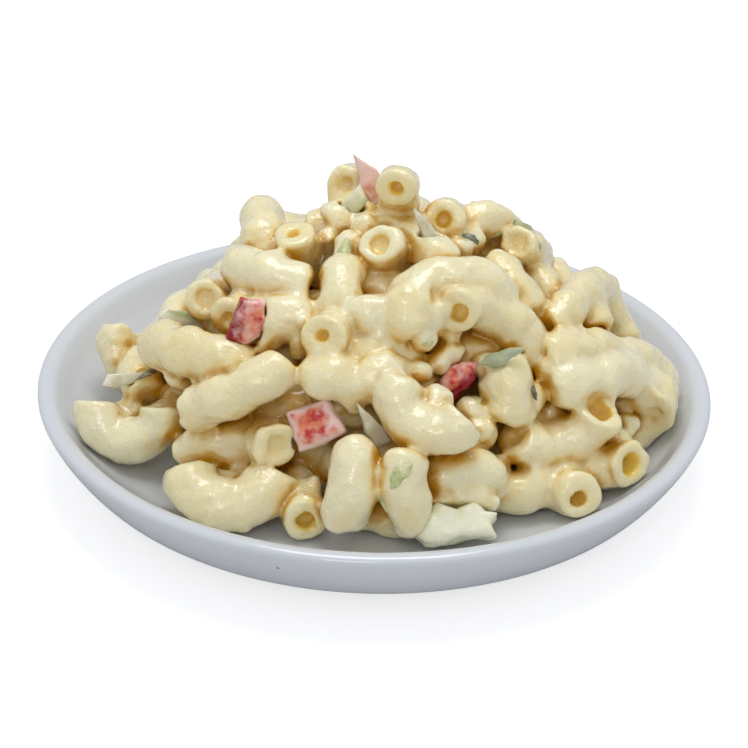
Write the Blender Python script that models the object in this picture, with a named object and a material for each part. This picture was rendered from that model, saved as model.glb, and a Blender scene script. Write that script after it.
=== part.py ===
"""A plate of macaroni salad: elbow macaroni with bits of pepper, celery and onion, on a shallow dish.

Millimetres become metres by the factor MM. The plate stands on z = 0 with its centre on the Z axis, and the
salad's front is toward -Y.
"""
import math
import operator
import random

import bmesh
import bpy
import numpy as np
from mathutils import Matrix, Vector

MM = 0.001
GAP = 0.3  # mm of air between neighbouring solids

# The plate: a shallow dish of 150 mm with a rounded lip and a low foot ring.
PLATE_RADIUS = 75.0
PLATE_HEIGHT = 19.0
PLATE_FLOOR = 6.5
PLATE_SEGMENTS = 44

# The dome that the heap's outer noodles lie on: its centre and its half lengths along X, Y and Z.
DOME_CENTRE = Vector((1.0, 4.0, 8.0))
DOME_HALF = Vector((57.0, 49.0, 43.0))
CORE_INSET = 6.5  # the core's surface is this far inside the dome

# An elbow noodle: a bent tube, with fewer sides and steps at the back of the heap.
FRONT_SIDES = 8
FRONT_STEPS = 4
BACK_SIDES = 6
BACK_STEPS = 3
HOLE_RADIUS = 2.1
HOLE_DEPTH = 3.0
FIRST, LAST = 0, 1
# The ends that stand open in front. Dressing closes the others. At the back each noodle's first end is
# open.
OPEN_ENDS = {
    ("summit", FIRST), ("left hole", FIRST), ("tube", LAST), ("right ring", FIRST), ("low lobe", FIRST),
    ("front ring", FIRST), ("mid ring", FIRST), ("crown tube", FIRST), ("top ring", FIRST),
    ("shoulder ring", FIRST), ("arch leg", FIRST), ("knob", FIRST), ("under summit", FIRST),
}

# How the placements were read: the view of the picture, PICTURE_SIZE points wide and high, with its angles
# in degrees. It is taken from the front, from CAMERA_DISTANCE mm before a point AIM_HEIGHT above the table.
PICTURE_SIZE = 748.0
LENS_ANGLE = 20.0
LOOK_DOWN = 29.15
LEAN = 1.43
CAMERA_DISTANCE = 476.5
AIM_HEIGHT = 19.0
SHIFT_RIGHT = -0.17
SHIFT_UP = -0.40

# The noodles low on the heap. Each has three places on its centre line, where it starts, bends and ends, as
# (across, down) in the picture and height above the table in mm. Then come how far it runs on unseen before
# the first and after the last of them, and its radius, in mm.
LOW_NOODLES = [
    ("left post", (113, 327, 25), (118, 354, 20), (124, 381, 13.5), 0, 0, 4.4),
    ("left crescent", (103, 399, 21.5), (130, 440, 14.6), (157, 404, 22), 0, 0, 5.3),
    ("left low", (134, 376, 14), (156, 388, 14.5), (180, 398, 14), 2, 2, 4.5),
    ("behind crescent", (193, 455, 15.5), (219, 448, 18), (244, 467, 14), 2, 2, 4.7),
    ("front crescent", (186, 468, 17.5), (228, 504, 13.3), (277, 475, 17.5), 0, 0, 5.4),
    ("front ring", (308, 521, 12.4), (302, 507, 12.2), (297, 492, 12.4), 0, 10, 4.9),
    ("slope bar", (356, 452, 26.5), (352, 488, 21), (344, 522, 13), 2, 0, 4.9),
    ("front post", (404, 462, 26), (405, 492, 20.5), (418, 520, 12.8), 2, 0, 4.9),
    ("low behind", (372, 510, 11.8), (388, 513, 11.8), (404, 517, 11.8), 4, 2, 4.6),
    ("front right end", (484, 504, 14), (468, 500, 15), (450, 496, 15), 0, 4, 4.7),
    ("tube", (520, 441, 22), (576, 436, 21), (601, 409, 27.5), 2, 0, 5.1),
    ("low bar", (501, 492, 12.2), (528, 492, 12.4), (554, 477, 13.2), 3, 0, 4.8),
    ("right ring", (632, 465, 16.6), (612, 464, 15.2), (586, 469, 14), 0, 3, 4.9),
    ("low lobe", (580, 497, 14.4), (571, 493, 12.8), (560, 481, 12.8), 0, 5, 4.9),
    ("right back", (625, 362, 27), (648, 368, 23.5), (657, 384, 18.5), 4, 2, 4.8),
    ("right knob", (652, 416, 19), (655, 402, 19.5), (650, 384, 20), 0, 4, 5.5),
    ("right web", (574, 456, 14), (598, 450, 15), (620, 440, 17), 3, 2, 3.8),
    ("low right back", (612, 438, 12), (630, 434, 12.5), (642, 424, 13), 4, 3, 4.5),
]

# The noodles higher up, in the same form, but with how far each place lies outside the dome in mm in the
# stead of its height.
HIGH_NOODLES = [
    ("left bar", (158, 344, 3), (196, 354, 4.5), (236, 364, 2), 0, 3, 5.0),
    ("left long", (196, 408, 5), (240, 392, 6.5), (282, 366, 5), 0, 1, 4.9),
    ("left gap", (228, 436, -4), (243, 436, -3), (256, 446, -4), 3, 3, 4.8),
    ("under long", (262, 412, -7), (280, 408, -6), (300, 404, -7), 3, 3, 4.8),
    ("knob", (277, 447, 5), (270, 441, 0), (262, 432, -8), 0, 4, 4.9),
    ("under hook", (432, 478, 0), (462, 472, 2), (490, 476, -1), 3, 2, 4.9),
    ("hook", (404, 376, 4), (412, 422, 5), (467, 419, 8.5), 0, 0, 5.5),
    ("right arch", (552, 390, 3), (604, 375, 5.5), (644, 400, 3.5), 0, 0, 4.8),
    ("bumpy", (545, 356, 3), (576, 350, 4), (606, 354, 2), 0, 2, 4.0),
    ("upper arch", (556, 322, 2), (574, 301, 3.5), (600, 297, 1), 3, 0, 4.6),
    ("arch leg", (598, 331, 2.5), (616, 326, 2), (626, 344, 1), 0, 1, 4.3),
    ("crown", (412, 300, 4), (448, 277, 6.5), (498, 296, 4), 3, 2, 5.0),
    ("crown tube", (458, 312, 8), (472, 309, 5), (512, 328, 2), 0, 3, 4.6),
    ("crown left", (414, 334, 4), (406, 312, 5), (418, 290, 4), 0, 3, 4.8),
    ("summit", (394, 199, 13), (398, 204, 8), (392, 227, 4), 0, 3, 4.5),
    ("under summit", (379, 243, 8), (386, 252, 3), (398, 258, -4), 0, 3, 4.9),
    ("beside summit", (404, 236, 2), (420, 246, 3), (440, 262, 3), 3, 3, 4.9),
    ("summit back", (344, 186, 9), (350, 184, 7.5), (358, 190, 4), 0, 5, 4.3),
    ("summit prop", (352, 206, 4), (360, 216, 3), (366, 228, 1), 4, 6, 4.4),
    ("summit left", (334, 224, 2), (342, 218, 3), (352, 220, 1), 2, 4, 4.3),
    ("top ring", (443, 219, 7), (443, 225, 2), (435, 246, -5), 0, 2, 4.6),
    ("top bar", (474, 224, 4), (488, 222, 5), (500, 227, 4), 3, 3, 4.4),
    ("shoulder ring", (517, 243, 5), (528, 250, 2), (532, 258, -4), 0, 6, 4.6),
    ("shoulder near", (506, 276, 2), (514, 288, 2), (528, 304, 0), 3, 2, 4.6),
    ("shoulder far", (532, 276, -3), (546, 294, -2), (552, 314, -4), 3, 3, 4.6),
    ("left top", (265, 217, 4), (262, 232, 4), (266, 248, 2), 0, 4, 4.7),
    ("left hole", (294, 232, 8), (297, 246, 4), (306, 262, -4), 0, 2, 4.9),
    ("upper left", (236, 270, 3), (270, 274, 5), (308, 289, 2), 0, 0, 4.9),
    ("barrel", (344, 272, 2.5), (341, 291, 3.5), (339, 309, 1.5), 2, 3, 4.5),
    ("left curl", (205, 300, 5), (212, 296, 1), (222, 290, -4), 0, 3, 4.4),
    ("left curl inner", (228, 320, 4.5), (238, 312, 2), (250, 306, -2), 0, 3, 4.3),
    ("mid left", (264, 322, 1), (286, 318, 2.5), (306, 323, -1), 3, 3, 4.8),
    ("mid ring", (322, 336, 7.5), (334, 331, 2.5), (352, 324, -2), 0, 3, 4.8),
    ("mid bar", (354, 318, 2), (376, 316, 3), (398, 322, 1), 2, 3, 4.6),
    ("mid low", (318, 384, 2), (334, 377, 3), (350, 388, 1), 2, 3, 4.7),
    ("mid right", (362, 386, 0), (376, 378, 1.5), (392, 376, -1), 2, 5, 4.5),
    ("centre", (352, 352, -2), (376, 354, -1), (400, 358, -3), 3, 3, 4.8),
    ("below summit", (366, 272, -2), (378, 282, -2), (392, 296, -4), 3, 3, 4.8),
    ("right middle", (506, 368, 0), (512, 390, 1), (508, 412, 0), 2, 2, 4.4),
    ("centre right", (508, 324, 0), (522, 334, 1), (524, 350, -1), 3, 3, 4.6),
    ("gap floor", (440, 348, -6), (465, 354, -5), (490, 358, -6), 3, 3, 4.6),
    ("behind top left", (248, 252, -3), (258, 252, -3), (270, 260, -3), 1, 5, 4.3),
]
TIGHTEST_BOW = 6.5  # the least radius in mm that a noodle bends round
MOST_BEND = 180.0

# The pieces of vegetable. Each has the two places where its long side starts and ends, as (across, down) in
# the picture and height above the table in mm, and how far its face is turned about that side from facing
# the view, in degrees. Then come its width and thickness in mm, how much it narrows toward its far end (0
# to 1), and how far its ends and its sides bow back, in mm.
PIECE_PLACES = [
    ("red_pepper_left", "pepper", (249, 299, 49), (243, 344, 39.5), 5, 8.8, 3.6, 0.10, 0.6, 0.8),
    ("red_pepper_front", "pepper", (288, 427, 27), (347, 423, 29.5), 0, 12.0, 3.8, 0.20, 0.6, 0.6),
    ("red_pepper_right", "pepper", (433, 404, 29), (477, 363, 38.5), 10, 6.6, 2.8, 0.10, 1.2, 0.6),
    ("red_pepper_top", "pepper", (355, 155, 67), (382, 202, 56), 15, 7.5, 1.6, 0.20, 0.6, 0.4),
    ("red_pepper_strip", "pepper", (468, 205, 53.5), (512, 219, 50.5), 0, 3.6, 1.4, 0.10, 0.8, 0.3),
    ("onion_top", "onion", (438, 252, 53), (413, 207, 63), 0, 6.0, 1.3, 0.60, 0.4, 0.3),
    ("onion_left", "onion", (103, 381, 24.5), (158, 374, 23.5), 0, 4.5, 1.4, 0.20, 0.8, 0.5),
    ("onion_centre", "onion", (383, 447, 25), (357, 403, 34.5), 0, 5.4, 1.4, 0.40, 0.5, 0.4),
    ("celery_left", "celery", (161, 315, 38), (203, 329, 33.5), 0, 5.0, 2.2, 0.10, 0.5, 0.4),
    ("celery_front", "celery", (415, 525, 12.8), (499, 522, 13.5), 15, 9.0, 6.6, 0.15, 0.6, 0.6),
    ("celery_top", "celery", (363, 190, 61), (337, 228, 51.5), 0, 6.2, 2.4, 0.10, 0.4, 0.6),
    ("celery_right", "celery", (479, 366, 38), (526, 348, 42), 0, 4.2, 1.4, 0.30, 0.6, 0.3),
    ("celery_back", "celery", (236, 245, 47.5), (264, 252, 46), 0, 5.0, 2.6, 0.10, 0.4, 0.4),
    ("celery_shoulder", "celery", (509, 226, 51.5), (537, 233, 50), 0, 3.2, 1.3, 0.10, 0.9, 0.4),
]

# The heap's outline against the backdrop as the picture shows it, (across, down) from left to right. The
# back of the heap stays under it.
SKYLINE = [
    (98, 338), (124, 318), (158, 312), (186, 286), (212, 262), (234, 234), (250, 205), (300, 212),
    (326, 196), (340, 172), (372, 156), (412, 178), (440, 202), (486, 204), (530, 224), (556, 252),
    (580, 276), (614, 288), (634, 326), (658, 352), (672, 390),
]

# The back of the heap, which the same kind of noodle covers by rule: each row's latitude on the dome, how
# many noodles it takes, and the longitudes between which it runs. Longitude 0 is the front and grows toward
# +X.
BACK_ROWS = [
    (11.0, 10, 108.0, 284.0),
    (31.0, 9, 112.0, 285.0),
    (52.0, 6, 112.0, 258.0),
    (71.0, 3, 120.0, 220.0),
]
BACK_TRIES = 150  # each is the best of this many draws
BACK_RADIUS = 4.7
BACK_SEED = 5

PIECE_CELLS = (4, 2)
ROOM_GROWTH = 0.4  # how far the heap stays off each piece, in mm


def clear_scene():
    for thing in list(bpy.data.objects):
        bpy.data.objects.remove(thing, do_unlink=True)


def material(name, colour, roughness):
    found = bpy.data.materials.new(name)
    found.use_nodes = True
    shader = found.node_tree.nodes["Principled BSDF"]
    shader.inputs["Base Color"].default_value = (*colour, 1.0)
    shader.inputs["Roughness"].default_value = roughness
    found.diffuse_color = (*colour, 1.0)
    return found


def new_object(name, bm, look, smooth_angle=60.0):
    mesh = bpy.data.meshes.new(name)
    bmesh.ops.recalc_face_normals(bm, faces=bm.faces)
    bm.to_mesh(mesh)
    bm.free()
    mesh.shade_smooth()
    mesh.set_sharp_from_angle(angle=math.radians(smooth_angle))
    mesh.materials.append(look)
    thing = bpy.data.objects.new(name, mesh)
    bpy.context.scene.collection.objects.link(thing)
    return thing


def turned(bm, profile, segments):
    """A solid of revolution about Z from (radius, height) points in mm that start and end on the axis."""
    rings = []
    for radius, height in profile:
        if radius == 0.0:
            rings.append([bm.verts.new((0.0, 0.0, height * MM))])
            continue
        angles = [2.0 * math.pi * k / segments for k in range(segments)]
        places = [Vector((radius * math.cos(a), radius * math.sin(a), height)) for a in angles]
        rings.append([bm.verts.new(place * MM) for place in places])
    for inner, outer in zip(rings, rings[1:]):
        for k in range(segments):
            j = (k + 1) % segments
            if len(inner) == 1:
                bm.faces.new((inner[0], outer[k], outer[j]))
            elif len(outer) == 1:
                bm.faces.new((inner[k], inner[j], outer[0]))
            else:
                bm.faces.new((inner[k], inner[j], outer[j], outer[k]))


# The plate's upper face from the middle of the well to the top of the lip, then its under side to the axis.
WELL_PROFILE = [(50.0, PLATE_FLOOR), (56.0, 7.4), (62.0, 9.6), (67.0, 13.4), (70.0, 17.0), (71.3, 18.4)]
LIP_PROFILE = [(72.9, PLATE_HEIGHT), (74.3, 18.8), (PLATE_RADIUS, 18.0), (74.7, 16.8)]
UNDER_PROFILE = [(73.6, 14.4), (72.2, 12.0), (70.0, 8.8), (67.2, 5.7), (63.0, 3.3), (57.0, 1.5), (46.0, 1.0)]
FOOT_PROFILE = [(45.0, 0.0), (41.0, 0.0), (39.5, 1.4)]


def make_plate(look):
    bm = bmesh.new()
    upper = [(0.0, PLATE_FLOOR)] + WELL_PROFILE + LIP_PROFILE
    turned(bm, upper + UNDER_PROFILE + FOOT_PROFILE + [(0.0, 1.4)], PLATE_SEGMENTS)
    return new_object("plate", bm, look)


def make_well_space(look):
    """The room above the plate, a gap clear of it, that the salad has to stay in."""
    bm = bmesh.new()
    floor = [(0.0, PLATE_FLOOR + GAP)] + [(radius - GAP, height + GAP) for radius, height in WELL_PROFILE]
    turned(bm, floor + [(71.5, 120.0), (0.0, 120.0)], PLATE_SEGMENTS)
    return new_object("well space", bm, look)


def dot(first, second):
    return float(np.dot(first, second))


def picture_axes():
    """Where the view is taken from in mm, and the ways that lead right, up and back in its picture."""
    down, lean = math.radians(LOOK_DOWN), math.radians(LEAN)
    back = np.array((0.0, -math.cos(down), math.sin(down)))
    level_right = np.array((1.0, 0.0, 0.0))
    level_up = np.cross(back, level_right)
    right = math.cos(lean) * level_right + math.sin(lean) * level_up
    up = math.cos(lean) * level_up - math.sin(lean) * level_right
    stand = back * CAMERA_DISTANCE + right * SHIFT_RIGHT + up * SHIFT_UP + np.array((0.0, 0.0, AIM_HEIGHT))
    return stand, right, up, back


PICTURE_REACH = 0.5 * PICTURE_SIZE / math.tan(math.radians(LENS_ANGLE / 2.0))


def sight(across, down):
    """The line of sight through a place of the picture: where it starts, and its way."""
    stand, right, up, back = picture_axes()
    half = 0.5 * PICTURE_SIZE
    way = (across - half) * right - (down - half) * up - PICTURE_REACH * back
    return stand, way / np.linalg.norm(way)


def in_picture(points):
    """How far across and down the picture points in mm are seen."""
    stand, right, up, back = picture_axes()
    away = np.asarray(points) - stand
    scale = -PICTURE_REACH / (away @ back)
    half = 0.5 * PICTURE_SIZE
    return half + away @ right * scale, half - away @ up * scale


def at_height(across, down, height):
    """The point at this height above the table that is seen at this place of the picture."""
    stand, way = sight(across, down)
    return stand + way * (height - stand[2]) / way[2]


def at_lift(across, down, lift):
    """The point this far outside the dome that is seen there, or the nearest where sight misses it."""
    stand, way = sight(across, down)
    half = np.array(DOME_HALF) + lift
    start, step = (stand - np.array(DOME_CENTRE)) / half, way / half
    square, middle = dot(step, step), dot(start, step)
    inside = max(middle * middle - square * (dot(start, start) - 1.0), 0.0)
    return stand - way * (middle + math.sqrt(inside)) / square


def angles_of(run, outward):
    """The heading, pitch and roll in degrees of something that runs and faces these ways."""
    heading = math.atan2(run[1], run[0])
    left = np.array((-math.sin(heading), math.cos(heading), 0.0))
    roll = math.atan2(dot(outward, left), dot(outward, np.cross(run, left)))
    return tuple(math.degrees(angle) for angle in (heading, math.asin(run[2]), roll))


def noodle_through(find, name, first, middle, last, before, after, radius):
    """A noodle's row: its middle, heading, pitch, roll, bend, length and radius, from places on its line."""
    start, knee, end = (find(*place) for place in (first, middle, last))
    to_knee, to_end = knee - start, end - start
    normal = np.cross(to_knee, to_end)
    if dot(normal, normal) < 1.0:
        knee = knee + np.array((0.0, 0.0, 0.5))
        to_knee = knee - start
        normal = np.cross(to_knee, to_end)
    lean = np.cross(normal, to_knee) * dot(to_end, to_end) + np.cross(to_end, normal) * dot(to_knee, to_knee)
    hub = start + lean / (2.0 * dot(normal, normal))
    bow = float(np.linalg.norm(start - hub))
    out = (start - hub) / bow
    along = np.cross(normal / np.linalg.norm(normal), out)
    bend = math.atan2(dot(end - hub, along), dot(end - hub, out)) % (2.0 * math.pi)
    middle_turn = 0.5 * (bend + (after - before) / bow)
    outward = math.cos(middle_turn) * out + math.sin(middle_turn) * along
    run = math.cos(middle_turn) * along - math.sin(middle_turn) * out
    spot = hub + bow * outward
    length = bow * bend + before + after
    bend = min(math.degrees(length / max(bow, TIGHTEST_BOW)), MOST_BEND)
    return (name, *map(float, spot), *angles_of(run, outward), bend, length, radius)


NOODLES = [noodle_through(at_height, *row) for row in LOW_NOODLES]
NOODLES += [noodle_through(at_lift, *row) for row in HIGH_NOODLES]


def piece_between(name, kind, first, last, turn, *sizes):
    """A piece's row: middle, heading, pitch, roll, length and other sizes, from its long side's ends."""
    start, end = at_height(*first), at_height(*last)
    length = np.linalg.norm(end - start)
    run = (end - start) / length
    middle = 0.5 * (start + end)
    toward = picture_axes()[0] - middle
    facing = toward - dot(toward, run) * run
    facing /= np.linalg.norm(facing)
    angle = math.radians(turn)
    face = math.cos(angle) * facing + math.sin(angle) * np.cross(facing, run)
    return (name, kind, *map(float, middle), *angles_of(run, face), float(length), *sizes)


PIECES = [piece_between(*place) for place in PIECE_PLACES]


def noodle_frame(heading, pitch, roll):
    """The way a noodle runs at its middle, and the way its outer bend faces."""
    h, p, r = (math.radians(angle) for angle in (heading, pitch, roll))
    run = Vector((math.cos(p) * math.cos(h), math.cos(p) * math.sin(h), math.sin(p)))
    left = Vector((-math.sin(h), math.cos(h), 0.0))
    outward = math.cos(r) * run.cross(left) + math.sin(r) * left
    return run, outward


def in_core(point):
    scaled = [(point[k] - DOME_CENTRE[k]) / (DOME_HALF[k] - CORE_INSET) for k in range(3)]
    return sum(value * value for value in scaled) < 1.0


def spine(row, steps=12):
    """Points along the centre line of a row's noodle."""
    _, x, y, z, heading, pitch, roll, bend, length, _ = row
    run, outward = noodle_frame(heading, pitch, roll)
    bend = math.radians(bend)
    bow = length / bend
    centre = Vector((x, y, z)) - bow * outward
    angles = [bend * (k / steps - 0.5) for k in range(steps + 1)]
    return [centre + bow * (math.cos(a) * outward + math.sin(a) * run) for a in angles]


def is_open(row, end):
    return end == FIRST if row[0] == "back" else (row[0], end) in OPEN_ENDS


def is_buried(point, own, spines):
    """Whether a noodle's end lies inside the core or inside another noodle, so that its hole doesn't show."""
    if in_core(point):
        return True
    for row, points in spines:
        if row is not own and min((point - other).length for other in points) < row[-1]:
            return True
    return False


def noodle(bm, row, spines):
    """A bent tube as a closed shell, with a blind hole in each open end that shows."""
    sides = BACK_SIDES if row[0] == "back" else FRONT_SIDES
    steps = BACK_STEPS if row[0] == "back" else FRONT_STEPS
    _, x, y, z, heading, pitch, roll, bend, length, radius = row
    run, outward = noodle_frame(heading, pitch, roll)
    side = run.cross(outward)
    bend = math.radians(bend)
    bow = length / bend
    centre = Vector((x, y, z)) - bow * outward

    def ring(angle, size, along=0.0):
        """A ring of corners round the centre line; along moves it on, in mm."""
        out = math.cos(angle) * outward + math.sin(angle) * run
        way = -math.sin(angle) * outward + math.cos(angle) * run
        hub = centre + bow * out + along * way
        turns = [2.0 * math.pi * k / sides for k in range(sides)]
        places = [hub + size * (math.cos(t) * out + math.sin(t) * side) for t in turns]
        return [bm.verts.new(place * MM) for place in places], hub

    def band(first, second):
        for k in range(sides):
            j = (k + 1) % sides
            bm.faces.new((first[k], first[j], second[j], second[k]))

    angles = [bend * (k / steps - 0.5) for k in range(steps + 1)]
    rings = [ring(angle, radius) for angle in angles]
    for (first, _), (second, _) in zip(rings, rings[1:]):
        band(first, second)
    for end, inward in ((FIRST, 1.0), (LAST, -1.0)):
        corners, hub = rings[-end]
        angle = angles[-end]
        if is_buried(hub, row, spines) or not is_open(row, end):
            bm.faces.new(corners)
            continue
        mouth, _ = ring(angle, HOLE_RADIUS)
        bottom, _ = ring(angle, HOLE_RADIUS * 0.8, inward * HOLE_DEPTH)
        band(corners, mouth)
        band(mouth, bottom)
        bm.faces.new(bottom)


def well_clearance(points, radius):
    """How far a noodle of this radius round these points stays above the well, in mm."""
    out = np.hypot(points[:, 0], points[:, 1]) + 0.5 * radius
    floor = np.interp(out, [r for r, _ in WELL_PROFILE], [h for _, h in WELL_PROFILE])
    return np.min(points[:, 2] - radius - floor)


def skyline_clearance(points, radius):
    """How far a noodle of this radius round these points stays under the outline in the view, in mm."""
    across, down = in_picture(points)
    outline = np.interp(across, [place for place, _ in SKYLINE], [place for _, place in SKYLINE])
    return np.min(down - outline) * CAMERA_DISTANCE / PICTURE_REACH - 1.1 * radius


def back_noodles():
    """Placements at the back of the heap, in the form of the NOODLES rows.

    Of the draws for each place, the one that keeps clear of the plate and under the skyline, lies along the
    dome and fills the widest space between its neighbours is taken.
    """
    draw = random.Random(BACK_SEED)
    taken = [np.array(spine(row)) for row in NOODLES]
    placed = []
    for latitude, count, start, end in BACK_ROWS:
        for k in range(count):
            best = None
            others = np.concatenate(taken)
            for _ in range(BACK_TRIES):
                longitude = start + (end - start) * (k + 0.5 + draw.uniform(-0.3, 0.3)) / count
                lon = math.radians(longitude)
                lat = math.radians(latitude + draw.uniform(-6.0, 6.0))
                flat = math.cos(lat)
                unit = Vector((flat * math.sin(lon), -flat * math.cos(lon), math.sin(lat)))
                spot = DOME_CENTRE + Vector(map(operator.mul, DOME_HALF, unit))
                spot += unit * draw.uniform(-8.0, 0.5)
                heading = longitude + draw.uniform(-70.0, 70.0)
                pitch = draw.uniform(-50.0, 50.0)
                roll = draw.uniform(-90.0, 90.0)
                bend = draw.uniform(50.0, 110.0)
                length = draw.uniform(22.0, 28.0)
                row = ("back", *spot, heading, pitch, roll, bend, length, BACK_RADIUS)
                points = np.array(spine(row))
                off_dome = np.linalg.norm((points - DOME_CENTRE) / DOME_HALF, axis=1) - 1.0
                nearest = np.linalg.norm(points[:, None] - others, axis=2).min()
                clear = min(well_clearance(points, BACK_RADIUS), skyline_clearance(points, BACK_RADIUS), 0.0)
                score = min(nearest, 2.0 * BACK_RADIUS) + 5.0 * clear - 25.0 * np.abs(off_dome).max()
                if best is None or score > best[0]:
                    best = (score, row, points)
            placed.append(best[1])
            taken.append(best[2])
    return placed


def piece_shell(bm, row):
    """A slab with rounded corners, narrowed and bowed, as a closed shell."""
    _, _, x, y, z, heading, pitch, roll, length, width, thickness, narrow, bow_ends, bow_sides = row
    run, face = noodle_frame(heading, pitch, roll)
    side = face.cross(run)
    long_half, wide_half, thick_half = (size / 2.0 for size in (length, width, thickness))
    columns, lines = PIECE_CELLS

    def corner(i, j, above):
        s = 2.0 * i / columns - 1.0
        t = 2.0 * j / lines - 1.0
        wide = wide_half * (1.0 - narrow * (s + 1.0) / 2.0) * (1.0 - 0.35 * s ** 4)
        thick = thick_half * (1.0 - 0.35 * max(abs(s), abs(t)) ** 3)
        deep = bow_ends * s * s + bow_sides * t * t
        reach = long_half * s * (1.0 - 0.2 * t * t * abs(s))
        place = Vector((x, y, z)) + reach * run + wide * t * side + (thick * above - deep) * face
        return bm.verts.new(place * MM)

    grids = {}
    for above in (1, -1):
        grids[above] = [[corner(i, j, above) for j in range(lines + 1)] for i in range(columns + 1)]
    for grid in grids.values():
        for i in range(columns):
            for j in range(lines):
                bm.faces.new((grid[i][j], grid[i + 1][j], grid[i + 1][j + 1], grid[i][j + 1]))
    edge = [(i, 0) for i in range(columns)] + [(columns, j) for j in range(lines)]
    edge += [(i, lines) for i in range(columns, 0, -1)] + [(0, j) for j in range(lines, 0, -1)]
    for (i, j), (k, m) in zip(edge, edge[1:] + edge[:1]):
        bm.faces.new((grids[1][i][j], grids[1][k][m], grids[-1][k][m], grids[-1][i][j]))


def grow_shell(bm, distance):
    """Move a shell's surface out by a distance in mm."""
    bmesh.ops.recalc_face_normals(bm, faces=bm.faces)
    bm.normal_update()
    moves = [(vert, vert.normal * (vert.calc_shell_factor() * distance * MM)) for vert in bm.verts]
    for vert, move in moves:
        vert.co += move


def make_pieces(looks):
    for row in PIECES:
        bm = bmesh.new()
        piece_shell(bm, row)
        new_object(row[0], bm, looks[row[1]], smooth_angle=50.0)


def collection_of(name, things):
    """A collection that holds the given objects and nothing else does."""
    group = bpy.data.collections.new(name)
    bpy.context.scene.collection.children.link(group)
    for thing in things:
        bpy.context.scene.collection.objects.unlink(thing)
        group.objects.link(thing)
    return group


def drop_collection(group):
    for thing in list(group.objects):
        bpy.data.objects.remove(thing, do_unlink=True)
    bpy.data.collections.remove(group)


def add_boolean(thing, operation, cutter):
    """A Boolean with an object or a collection as its operand. EXACT is slow on so many noodles."""
    cut = thing.modifiers.new(operation.lower(), "BOOLEAN")
    cut.operation = operation
    cut.solver = "MANIFOLD"
    if isinstance(cutter, bpy.types.Collection):
        cut.operand_type = "COLLECTION"
        cut.collection = cutter
    else:
        cut.object = cutter


def make_heap(look, space):
    """The heap of noodles: a core with the noodles fused to it, cut clear of the plate and of the pieces."""
    bm = bmesh.new()
    bmesh.ops.create_uvsphere(bm, u_segments=16, v_segments=8, radius=1.0)
    half = (DOME_HALF - Vector((CORE_INSET,) * 3)) * MM
    placing = Matrix.Translation(DOME_CENTRE * MM) @ Matrix.Diagonal((*half, 1.0))
    bmesh.ops.transform(bm, matrix=placing, verts=bm.verts)
    heap = new_object("macaroni_heap", bm, look, smooth_angle=40.0)

    rows = NOODLES + back_noodles()
    spines = [(row, spine(row)) for row in rows]
    noodles = []
    for row in rows:
        bm = bmesh.new()
        noodle(bm, row, spines)
        noodles.append(new_object(row[0], bm, look))
    fused = collection_of("noodles", noodles)

    cutters = []
    for row in PIECES:
        bm = bmesh.new()
        piece_shell(bm, row)
        grow_shell(bm, ROOM_GROWTH)
        cutters.append(new_object(row[0] + " room", bm, look))
    rooms = collection_of("rooms", cutters)

    add_boolean(heap, "UNION", fused)
    add_boolean(heap, "INTERSECT", space)
    add_boolean(heap, "DIFFERENCE", rooms)
    apply_modifiers(heap)
    drop_collection(fused)
    drop_collection(rooms)
    return heap


def apply_modifiers(thing):
    """Bake the modifiers of an object into its mesh."""
    graph = bpy.context.evaluated_depsgraph_get()
    baked = bpy.data.meshes.new_from_object(thing.evaluated_get(graph))
    thing.modifiers.clear()
    thing.data = baked


def keep_outer_shell(thing):
    """Keep the largest shell of a mesh, which drops loose scraps and sealed hollows."""
    bm = bmesh.new()
    bm.from_mesh(thing.data)
    left = set(bm.verts)
    shells = []
    while left:
        stack = [left.pop()]
        shell = set(stack)
        while stack:
            for edge in stack.pop().link_edges:
                for vert in edge.verts:
                    if vert in left:
                        left.remove(vert)
                        shell.add(vert)
                        stack.append(vert)
        shells.append(shell)
    shells.sort(key=len)
    bmesh.ops.delete(bm, geom=[v for shell in shells[:-1] for v in shell], context="VERTS")
    bmesh.ops.triangulate(bm, faces=bm.faces)
    bm.to_mesh(thing.data)
    bm.free()
    thing.data.shade_smooth()
    thing.data.set_sharp_from_angle(angle=math.radians(50.0))


clear_scene()
china = material("glazed china", (0.80, 0.81, 0.83), 0.15)
pasta = material("dressed pasta", (0.78, 0.68, 0.38), 0.35)
vegetables = {
    "pepper": material("red pepper", (0.62, 0.12, 0.10), 0.3),
    "onion": material("onion", (0.72, 0.72, 0.62), 0.25),
    "celery": material("celery", (0.60, 0.66, 0.38), 0.3),
}
make_plate(china)
well_space = make_well_space(china)
heap = make_heap(pasta, well_space)
keep_outer_shell(heap)
make_pieces(vegetables)
bpy.data.objects.remove(well_space, do_unlink=True)
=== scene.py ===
# %% [markdown]
# # A plate of macaroni salad
#
# The real thing is a heap of soft elbow macaroni in a thick mayonnaise dressing, with bits of red pepper,
# onion and celery, on a shallow white plate. The plain solids of it come in as the frame: they say where
# everything is and how large. This lesson gives each of them its real surface. All lengths below are in
# millimetres, and the factor MM turns them into Blender's metres.

import itertools
import math
import operator
import random

import bmesh
import bpy
import numpy as np
from mathutils import Matrix, Vector
from mathutils.bvhtree import BVHTree


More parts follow.
